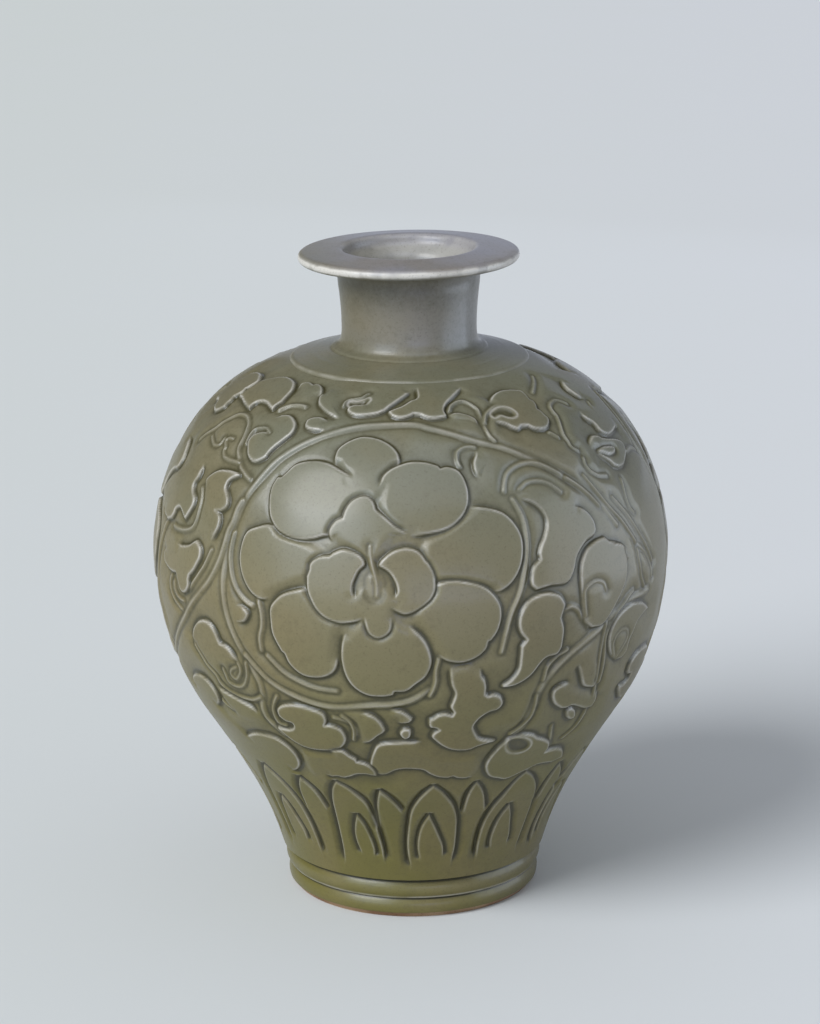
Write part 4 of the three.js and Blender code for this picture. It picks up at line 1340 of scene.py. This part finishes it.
lip_curve = np.vstack([
    fillet(NECK_TOP, (NECK_TOP[0], LIP_UNDER), (NECK_TOP[0] + LIP_FLARE, LIP_UNDER)),
    lip_edge,
    mouth_roll,
    funnel[1:],
])

# Glaze over the collar, the neck and the lip, down to where the lining meets it
TOP_COLUMNS = 300
TOP_PATH_STEP = 0.3
TOP_STEP = 0.4
TOP_ROUNDING = 4
TOP_BEND_REACH = 0.5
SEAT_MARGIN = (1.0, 0.1)
TOP_LINES = 0.03
TOP_LINES_APART = 1.9
COLLAR_RING_HEIGHT = 0.1
COLLAR_RING_WIDTH = 0.5

top_path = resample(np.vstack([
    neck_face,
    neck_curve[1:],
    lip_curve[1:],
    [[NECK_BORE, LINING_TOP]],
]), TOP_PATH_STEP)
on_collar = (
    (top_path[:, 0] > NECK_SEAT[0] + SEAT_MARGIN[0])
    & (top_path[:, 1] < NECK_SEAT[1] + SEAT_MARGIN[1])
)
turning_lines = TOP_LINES * np.sin(FULL_TURN * top_path[:, 0] / TOP_LINES_APART)
collar_ring = COLLAR_RING_HEIGHT * bell(top_path[:, 0] - COLLAR_RING, COLLAR_RING_WIDTH)
top_path[:, 1] += np.where(on_collar, turning_lines + collar_ring, 0)
top_outside = rounded(resample(top_path + COAT * side_of(top_path), TOP_STEP), TOP_ROUNDING)
top_inside = (top_outside - COAT_DEPTH * side_of(top_outside))[::2]

# Pale colour on the lip's edge (thin glaze with a painted highlight), at the mouth and along the collar's
# foot, where it fades out behind the leaf that runs up to it, and painted shade that deepens on the neck
# towards the underside of the lip
LIP_PALE = 2.6
LIP_PALE_WIDTH = 0.4
MOUTH_PALE = 0.5
MOUTH_PALE_REACH = 1.5
COLLAR_LINE_REACH = 2
LEAF_ON_RING = 12.0
LEAF_ON_RING_HALF = 8.5
LEAF_FADE = 2
BEHIND_LEAF = 0.2
UNDER_LIP_SHADE = 0.5
UNDER_LIP_SHADE_FROM = 182
UNDER_LIP_SHADE_RISE = 12

top_radius, top_height = top_outside.T
top_values = bend_values(top_outside, TOP_BEND_REACH)
# Thin glaze with a painted highlight along the lip's edge
thin_lip_and_highlight = LIP_PALE * bell(top_radius - LIP_RADIUS - COAT, LIP_PALE_WIDTH)
pale_mouth = MOUTH_PALE * eased((MOUTH_ROLL[0] - top_radius) / MOUTH_PALE_REACH) * (top_height > FUNNEL_FOOT)
own_rim = np.maximum(top_values["rim"], np.maximum(thin_lip_and_highlight, pale_mouth))
collar_line = (top_height < NECK_SEAT[1]) & (top_radius > COLLAR_RING + COLLAR_LINE_REACH)
past_leaf = np.abs(np.arange(TOP_COLUMNS) * 360 / TOP_COLUMNS % HALF - LEAF_ON_RING) - LEAF_ON_RING_HALF
ring_shown = BEHIND_LEAF + (1 - BEHIND_LEAF) * eased(past_leaf / LEAF_FADE)
top_values["rim"] = np.where(collar_line[:, None], top_values["rim"][:, None] * ring_shown, own_rim[:, None])
lip_point = np.where(top_height > NECK_TOP[1], top_radius, 0).argmax()
before_lip = np.arange(len(top_outside)) < lip_point
# Painted shade under the lip, added to the pool values
under_lip_shade = UNDER_LIP_SHADE * eased((top_height - UNDER_LIP_SHADE_FROM) / UNDER_LIP_SHADE_RISE) * before_lip
top_values["pool"] = np.maximum(top_values["pool"], under_lip_shade)
top_coat = turned_ring("neck_and_lip_glaze", top_outside, top_inside, TOP_COLUMNS, top_values)

# Lining: down the neck, under the shoulder and down to the middle of the floor
HIDDEN_COLUMNS = 180
INSIDE_STEP = 1.5
FLOOR_CORNER_SHARE = 0.16

lower_wall = clay_wall[:BELLY_POINT + 1]
upper_wall = clay_wall[BELLY_POINT:]
lower_inside = inner_wall(lower_wall, WALL_THICKNESS[0], WALL_THICKNESS[1])
lower_inside = lower_inside[arc_lengths(lower_wall) / arc_lengths(lower_wall)[-1] > FLOOR_CORNER_SHARE]
upper_inside = inner_wall(upper_wall, WALL_THICKNESS[1], WALL_THICKNESS[2])
bore_foot = [NECK_BORE, NECK_SEAT[1] - WALL_THICKNESS[2]]
floor_path = np.vstack([
    [[0.0, FLOOR_TOP]],
    fillet((FLOOR_FLAT, FLOOR_TOP), (lower_inside[0][0], FLOOR_TOP), lower_inside[0]),
    lower_inside[1:],
])
inside_path = np.vstack([floor_path, upper_inside[1:], [bore_foot, [NECK_BORE, LINING_TOP]]])
inside_path = resample(inside_path, INSIDE_STEP)


def lining_path(depth):
    """The inside of the clay moved into the vase by a depth, from the axis up to the lining's top."""
    path = inside_path - depth * side_of(inside_path)
    path[0, 0] = 0
    path[-1, 1] = LINING_TOP
    return path


lining_section = np.vstack([lining_path(COAT - COAT_DEPTH), lining_path(COAT)[::-1]])
lining = turned_solid("lining_glaze", lining_section, HIDDEN_COLUMNS)

# Glaze under the base, inside the foot ring, as (distance under the base, radius there, radius at its hem)
BASE_FACE = (COAT, 29.6, 30.3)
BASE_BACK = (0.1, 30.1, 30.8)
BASE_ROUNDING = 3
BASE_STEP = 0.5


def base_path(under, top_radius, hem_radius):
    """Out from the axis under the base, and down inside the foot ring to the bare clay."""
    top = FOOT_TOP - under
    return densified([(0.0, top), (top_radius, top), (hem_radius, BARE_CLAY_TOP)], BASE_STEP)


base_section = np.vstack([rounded(base_path(*BASE_FACE), BASE_ROUNDING), base_path(*BASE_BACK)[::-1]])
base_coat = turned_solid("base_glaze_coat", base_section, HIDDEN_COLUMNS)

# Clay sections, under the glaze and in to the hollow
UNDERLAY_DEPTH = 2.2
FOOT_CLAY_COLUMNS = 240
FOOT_BORE_STEP = 0.5
CLAY_STEP = 2.0
SEAT_STEP = 1.0
FLOOR_EDGE = 1.5
COLLAR_EDGE = 1.0
NECK_STEP = 0.8
LIP_STEP = 0.5
RIM_BORE_STEP = 1.0
RIM_BORE_LIFT = 0.01
FUNNEL_SEAT = 0.5

foot_bore = densified([(FOOT_BORE - FOOT_BORE_TAPER, FOOT_TOP), (FOOT_BORE, 0.0)], FOOT_BORE_STEP)
foot_clay = turned_ring("foot_clay", foot_face, foot_bore[::-1], FOOT_CLAY_COLUMNS)
under_wall = clay_wall - (UNDERLAY_DEPTH - COAT) * side_of(clay_wall)
lower_clay = turned_solid("lower_body_clay", np.vstack([
    [[0.0, FOOT_TOP], [foot_face[-1][0] - FLOOR_EDGE, FOOT_TOP]],
    resample(under_wall[:BELLY_POINT + 1], CLAY_STEP),
    resample(floor_path, CLAY_STEP)[::-1],
]), HIDDEN_COLUMNS)
upper_clay = turned_ring(
    "upper_body_clay",
    np.vstack([
        resample(under_wall[BELLY_POINT:], CLAY_STEP),
        densified([(COLLAR_FOOT[0] - COLLAR_EDGE, COLLAR_FOOT[1]), NECK_SEAT], SEAT_STEP),
    ]),
    np.vstack([resample(upper_inside, CLAY_STEP), [bore_foot, [NECK_BORE, NECK_SEAT[1]]]]),
    HIDDEN_COLUMNS,
)
neck_clay = turned_ring(
    "neck_clay",
    resample(np.vstack([[NECK_SEAT], neck_curve]), NECK_STEP),
    densified([(NECK_BORE, NECK_SEAT[1]), (NECK_BORE, NECK_TOP[1])], CLAY_STEP),
    HIDDEN_COLUMNS,
)
rim_clay = turned_ring(
    "mouth_rim_clay",
    resample(lip_curve, LIP_STEP),
    densified([
        (NECK_BORE, NECK_TOP[1] + RIM_BORE_LIFT),
        (NECK_BORE, FUNNEL_FOOT - FUNNEL_SEAT),
    ], RIM_BORE_STEP),
    HIDDEN_COLUMNS,
)


class Number:
    """A value in a material, so that its sums read as sums."""

    def __init__(self, finish, socket):
        self.finish = finish
        self.socket = socket

    def combine(self, operation, first, second, clamp=False):
        node = self.finish.add(
            "ShaderNodeMath",
            {"operation": operation, "use_clamp": clamp},
            {0: first, 1: second},
        )
        return Number(self.finish, node.outputs[0])

    def __add__(self, other):
        return self.combine("ADD", self, other)

    def __radd__(self, other):
        return self.combine("ADD", other, self)

    def __sub__(self, other):
        return self.combine("SUBTRACT", self, other)

    def __rsub__(self, other):
        return self.combine("SUBTRACT", other, self)

    def __mul__(self, other):
        return self.combine("MULTIPLY", self, other)

    def __rmul__(self, other):
        return self.combine("MULTIPLY", other, self)

    def clamped(self):
        """The value kept between 0 and 1."""
        return self.combine("ADD", self, 0.0, clamp=True)

    def between(self, low, high):
        """0 at low and 1 at high, with an S curve between and flat beyond."""
        node = self.finish.add(
            "ShaderNodeMapRange",
            {"interpolation_type": "SMOOTHSTEP"},
            {"Value": self, "From Min": low, "From Max": high, "To Min": 0.0, "To Max": 1.0},
        )
        return Number(self.finish, node.outputs["Result"])


class Finish:
    """A material with its own Principled shader."""

    def __init__(self, name):
        self.material = bpy.data.materials.new(name)
        self.material.use_nodes = True
        self.tree = self.material.node_tree
        self.tree.nodes.clear()
        self.shader = self.add("ShaderNodeBsdfPrincipled")
        self.add("ShaderNodeOutputMaterial", inputs={"Surface": self.shader.outputs["BSDF"]})

    def add(self, kind, settings=None, inputs=None):
        """A node of some kind: its settings first, then its inputs, each a value, a Number or a socket."""
        node = self.tree.nodes.new(kind)
        for key, value in (settings or {}).items():
            setattr(node, key, value)
        for key, value in (inputs or {}).items():
            self.give(node.inputs[key], value)
        return node

    def give(self, place, value):
        """Links a Number or a socket to an input, or sets a plain value on it."""
        value = getattr(value, "socket", value)
        if isinstance(value, bpy.types.NodeSocket):
            self.tree.links.new(value, place)
        else:
            place.default_value = value

    def set(self, **inputs):
        """Gives the shader's inputs, named with underscores for spaces."""
        for key, value in inputs.items():
            self.give(self.shader.inputs[key.replace("_", " ")], value)

    def attribute(self, name):
        """A value that the mesh carries at its points."""
        node = self.add("ShaderNodeAttribute", {"attribute_name": name})
        return Number(self, node.outputs["Fac"])

    def place(self):
        """Object coordinates, in metres."""
        return self.add("ShaderNodeTexCoord").outputs["Object"]

    def axis(self, name):
        """One of the Object coordinates."""
        node = self.add("ShaderNodeSeparateXYZ", inputs={"Vector": self.place()})
        return Number(self, node.outputs[name])

    def noise(self, per_metre, detail, roughness=0.5):
        """Noise from 0 to 1 with about so many lumps per metre."""
        node = self.add(
            "ShaderNodeTexNoise",
            inputs={"Vector": self.place(), "Scale": per_metre, "Detail": detail, "Roughness": roughness},
        )
        return Number(self, node.outputs["Fac"])

    def mix(self, share, first, second):
        """A colour that goes from first to second as share goes from 0 to 1.

        A Mix node has its factor, first and second colour in places 0, 6 and 7, and gives colour in place 2.
        """
        node = self.add("ShaderNodeMix", {"data_type": "RGBA"}, {0: share, 6: first, 7: second})
        return node.outputs[2]

    def bump(self, height, distance, strength):
        """The surface's normal, tilted by a height of some metres at 1."""
        inputs = {"Height": height, "Distance": distance, "Strength": strength}
        return self.add("ShaderNodeBump", inputs=inputs).outputs["Normal"]


def colour(red, green, blue):
    """A linear colour from the 0 to 255 values that a screen shows."""
    values = np.array([red, green, blue]) / 255
    linear = np.where(values <= 0.04045, values / 12.92, ((values + 0.055) / 1.055) ** 2.4)
    return (*linear.tolist(), 1.0)


GLAZE_FOOT = colour(101, 95, 38)
GLAZE_BELLY = colour(118, 111, 80)
GLAZE_SHOULDER = colour(106, 106, 86)
GLAZE_NECK = colour(130, 130, 127)
# Painted shade on the left of the neck and lip
GLAZE_LEFT_PAINTED_SHADE = colour(104, 101, 84)
GLAZE_LIP = colour(128, 127, 134)
GLAZE_BROWN = colour(120, 106, 68)
GLAZE_POOL = colour(62, 58, 26)
# Pale colour of thin glaze on edges, partly a painted highlight
GLAZE_PALE_EDGE_AND_HIGHLIGHT = colour(204, 201, 194)

# Where the glaze changes colour up the vase and across it, in metres; across the neck and lip the darker
# left is painted shade
FOOT_TO_BELLY = (0.03, 0.118)
BELLY_TO_SHOULDER = (0.11, 0.155)
SHOULDER_TO_NECK = (0.169, 0.178)
NECK_TO_LIP = (0.1975, 0.1995)
NECK_SHADE_ACROSS = (-0.026, 0.004)
LIP_SHADE_ACROSS = (-0.038, -0.008)
LOW_TO_HIGH_WALL = (0.05, 0.125)

# Noise in the glaze, as (lumps per metre, detail, roughness), with 0.5 as its middle
DRIFT = (26.0, 3.0)
BREAKS = (150.0, 2.0)
PATCHES = (170.0, 3.0, 0.6)
SWELLS = (260.0, 2.0)
SPECKLE = (600.0, 3.0, 0.75)
RIPPLES = (1300.0, 1.0)
GRAIN = (1500.0, 2.0, 0.7)
MIDDLE = 0.5

# How much each thing darkens or pales the glaze
BROWN_FROM = (0.4, 0.68)
BROWN_MOST = 0.4
PATCHES_DARKEN = 0.55
DRIFT_DARKENS = 0.25
SPECKLE_DARKENS = 0.7
POOL_DARKENS = 0.6
THICK_DARKENS = 0.5
THICK_DARKENS_LOW = 0.6
THICK_FROM = (0.0, 0.6)
BREAKS_FROM = (0.3, 0.6)
BREAKS_SHARE = 0.6
RIM_PALES = 0.66
THIN_FROM = (0.05, 0.5)
THIN_PALES = 0.15
GRAIN_FROM = (0.03, 0.3)
GRAIN_DARKENS = 0.4
GLAZE_ROUGH = 0.46
GLAZE_ROUGH_GRAIN = 0.12
SWELLS_SHARE = 0.7


def celadon(name):
    """Olive celadon: deep where glaze pools under a cut, pale where it runs thin on an edge, partly with a
    painted highlight; it also carries painted shade under the lip and on the left of the neck and lip.
    """
    finish = Finish(name)
    height = finish.axis("Z")
    across = finish.axis("X")
    # Painted shade: the neck and the lip are darker on their left side
    neck = finish.mix(across.between(*NECK_SHADE_ACROSS), GLAZE_LEFT_PAINTED_SHADE, GLAZE_NECK)
    lip = finish.mix(across.between(*LIP_SHADE_ACROSS), GLAZE_LEFT_PAINTED_SHADE, GLAZE_LIP)
    body = finish.mix(height.between(*FOOT_TO_BELLY), GLAZE_FOOT, GLAZE_BELLY)
    body = finish.mix(height.between(*BELLY_TO_SHOULDER), body, GLAZE_SHOULDER)
    body = finish.mix(height.between(*SHOULDER_TO_NECK), body, neck)
    body = finish.mix(height.between(*NECK_TO_LIP), body, lip)
    drift = finish.noise(*DRIFT)
    patches = finish.noise(*PATCHES)
    speckle = finish.noise(*SPECKLE)
    grain = finish.noise(*GRAIN)
    body = finish.mix(drift.between(*BROWN_FROM) * BROWN_MOST, body, GLAZE_BROWN)
    thick = finish.attribute("thickness")
    pool = finish.attribute("pool")
    rim = finish.attribute("rim")
    uneven = (
        (patches - MIDDLE) * PATCHES_DARKEN
        + (drift - MIDDLE) * DRIFT_DARKENS
        + (speckle - MIDDLE) * SPECKLE_DARKENS
    )
    low = 1.0 - height.between(*LOW_TO_HIGH_WALL)
    pooled = pool * POOL_DARKENS + thick.between(*THICK_FROM) * (low * THICK_DARKENS_LOW + THICK_DARKENS)
    shade = finish.mix((pooled + uneven).clamped(), body, GLAZE_POOL)
    broken = finish.noise(*BREAKS).between(*BREAKS_FROM) * BREAKS_SHARE + (1 - BREAKS_SHARE)
    # Pale colour on edges: thin glaze, partly a painted highlight broken up by noise
    thin = rim * RIM_PALES * broken + (0.0 - thick).between(*THIN_FROM) * THIN_PALES
    shade = finish.mix(thin.clamped(), shade, GLAZE_PALE_EDGE_AND_HIGHLIGHT)
    shade = finish.mix((grain - MIDDLE).between(*GRAIN_FROM) * GRAIN_DARKENS, shade, GLAZE_POOL)
    waves = finish.noise(*SWELLS) * SWELLS_SHARE + finish.noise(*RIPPLES) * (1 - SWELLS_SHARE)
    finish.set(
        Base_Color=shade,
        Roughness=GLAZE_ROUGH + grain * GLAZE_ROUGH_GRAIN,
        IOR=1.45,
        Coat_Weight=0.45,
        Coat_Roughness=0.2,
        Coat_IOR=1.4,
        Normal=finish.bump(waves, distance=0.0001, strength=0.5),
    )
    return finish.material


CLAY_FIRED = colour(128, 96, 66)
CLAY_PALE = colour(168, 140, 108)
CLAY_DARK_GRAIN = colour(92, 66, 44)
CLAY_PATCHES = (60.0, 3.0)
CLAY_GRAIN = (1800.0, 2.0)
CLAY_PALE_FROM = (0.35, 0.65)
CLAY_GRAIN_FROM = (0.55, 0.75)
CLAY_GRAIN_DARKENS = 0.5


def fired_clay(name):
    """Bare stoneware: brown from the kiln, paler where it is rubbed, with sandy grain."""
    finish = Finish(name)
    patches = finish.noise(*CLAY_PATCHES)
    grain = finish.noise(*CLAY_GRAIN)
    shade = finish.mix(patches.between(*CLAY_PALE_FROM), CLAY_FIRED, CLAY_PALE)
    shade = finish.mix(grain.between(*CLAY_GRAIN_FROM) * CLAY_GRAIN_DARKENS, shade, CLAY_DARK_GRAIN)
    finish.set(
        Base_Color=shade,
        Roughness=0.85,
        Normal=finish.bump(grain, distance=0.0002, strength=0.6),
    )
    return finish.material


glaze = celadon("olive celadon glaze")
clay = fired_clay("fired stoneware")

glaze_pieces = {
    "outer_glaze": [*skin, foot_coat, top_coat],
    "inner_glaze": [lining],
    "base_glaze": [base_coat],
}
clay_pieces = {
    "foot_ring": [foot_clay],
    "lower_body": [lower_clay],
    "upper_body": [upper_clay],
    "neck": [neck_clay],
    "mouth_rim": [rim_clay],
}
for node, items in glaze_pieces.items():
    for item in items:
        item.data.materials.append(glaze)
        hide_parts(node)
for node, items in clay_pieces.items():
    for item in items:
        item.data.materials.append(clay)
        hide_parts(node)

# Floor: pale paper that runs on past the picture, and keeps the vase's shadow
FLOOR_LEFT = colour(207, 212, 210)
FLOOR_RIGHT = colour(210, 213, 219)
FLOOR_SIZE = 12.0
FLOOR_SHIFT = (-0.5, 0.5)
FLOOR_FIBRE = (9.0, 3.0)
FLOOR_FIBRE_SHARE = 0.2


def paper_floor():
    """A flat square of paper at the standing height."""
    half = FLOOR_SIZE / 2
    corners = [(-half, -half, 0), (half, -half, 0), (half, half, 0), (-half, half, 0)]
    mesh = bpy.data.meshes.new("paper_floor")
    mesh.from_pydata(corners, [], [(0, 1, 2, 3)])
    item = bpy.data.objects.new("paper_floor", mesh)
    bpy.context.scene.collection.objects.link(item)
    finish = Finish("pale paper")
    across = finish.axis("X").between(*FLOOR_SHIFT)
    fibre = finish.noise(*FLOOR_FIBRE)
    share = across * (1 - FLOOR_FIBRE_SHARE) + fibre * FLOOR_FIBRE_SHARE
    finish.set(Base_Color=finish.mix(share, FLOOR_LEFT, FLOOR_RIGHT), Roughness=0.9)
    mesh.materials.append(finish.material)


def lamp_object(name, kind, power, tint):
    """A lamp of some kind at the origin, and the object that carries it."""
    lamp = bpy.data.lights.new(name, kind)
    lamp.energy = power
    lamp.color = tint
    item = bpy.data.objects.new(name, lamp)
    bpy.context.scene.collection.objects.link(item)
    return lamp, item


def far_lamp(name, turn, climb, power, spread, tint):
    """A lamp far away: turn degrees from the camera's side towards +X, climb degrees above the floor."""
    lamp, item = lamp_object(name, "SUN", power, tint)
    lamp.angle = math.radians(spread)
    item.rotation_euler = (math.radians(90 - climb), 0.0, math.radians(turn))


def mirrored_card(name, place, target, size, power, tint):
    """A glowing card at a place in metres, turned to face a target, that only shows in gloss."""
    lamp, item = lamp_object(name, "AREA", power, tint)
    lamp.shape = "RECTANGLE"
    lamp.size, lamp.size_y = size
    away = np.array(place, float) - np.array(target, float)
    away /= np.linalg.norm(away)
    item.location = place
    item.rotation_euler = (math.acos(away[2]), 0.0, math.atan2(away[0], -away[1]))
    item.visible_diffuse = False
    item.visible_camera = False


# Pale things round the room that only the glaze mirrors: name, place, target, size, watts and tint
MIRRORED = [
    ("mirrored window", (-0.95, -1.15, 0.55), (0, 0, 0.1), (1.1, 0.95), 12.2, (0.58, 0.73, 1.0)),
    ("mirrored board", (0.5, -0.06, 0.2), (0, -0.05, 0.18), (0.5, 0.4), 2.0, (0.74, 0.84, 1.0)),
    ("mirrored backdrop", (0.35, 1.0, 0.34), (0, 0, 0.15), (1.2, 0.6), 1.1, (0.7, 0.78, 1.0)),
    ("mirrored ceiling", (0.3, -0.75, 1.25), (0, 0, 0.12), (1.1, 0.8), 6.2, (0.66, 0.74, 1.0)),
    ("mirrored table", (0.2, -0.75, 0.1), (0, 0, 0.11), (0.5, 0.16), 0.9, (0.42, 0.52, 1.0)),
]

paper_floor()
far_lamp("window at the left", turn=-48, climb=38, power=2.72, spread=34, tint=(0.98, 0.99, 1.0))
for card in MIRRORED:
    mirrored_card(*card)


def studio_air(fill, mirrored, tint):
    """Even light from all round, of one strength on matt surfaces and another in the glaze's mirror."""
    world = bpy.data.worlds.new("studio air")
    bpy.context.scene.world = world
    world.use_nodes = True
    nodes = world.node_tree.nodes
    air = nodes["Background"]
    air.inputs["Color"].default_value = tint
    path = nodes.new("ShaderNodeLightPath")
    strength = nodes.new("ShaderNodeMapRange")
    strength.inputs["To Min"].default_value = fill
    strength.inputs["To Max"].default_value = mirrored
    world.node_tree.links.new(path.outputs["Is Glossy Ray"], strength.inputs["Value"])
    world.node_tree.links.new(strength.outputs["Result"], air.inputs["Strength"])


studio_air(fill=0.47, mirrored=0.16, tint=(0.93, 0.96, 1.0, 1.0))

# Camera, from the fit of the vase's edges to the photo: metres and radians
PICTURE_HEIGHT = 1024
CAMERA_BACK = 0.9800
CAMERA_HEIGHT = 0.3901
CAMERA_PITCH = 0.27053
CAMERA_ROLL = -0.0075
FOCAL_PIXELS = 3300.6
SENSOR_MM = 36.0
CENTRE_SHIFT = 0.6
FARTHEST_SEEN = 50.0

camera_data = bpy.data.cameras.new("camera")
camera_data.sensor_width = SENSOR_MM
camera_data.lens = FOCAL_PIXELS * SENSOR_MM / PICTURE_HEIGHT
camera_data.shift_x = -CENTRE_SHIFT / PICTURE_HEIGHT
camera_data.clip_end = FARTHEST_SEEN
camera = bpy.data.objects.new("camera", camera_data)
camera.matrix_world = (
    Matrix.Translation((0.0, -CAMERA_BACK, CAMERA_HEIGHT))
    @ Matrix.Rotation(math.pi / 2 - CAMERA_PITCH, 4, "X")
    @ Matrix.Rotation(CAMERA_ROLL, 4, "Z")
)
bpy.context.scene.collection.objects.link(camera)
bpy.context.scene.camera = camera

bpy.context.scene.view_settings.view_transform = "Standard"
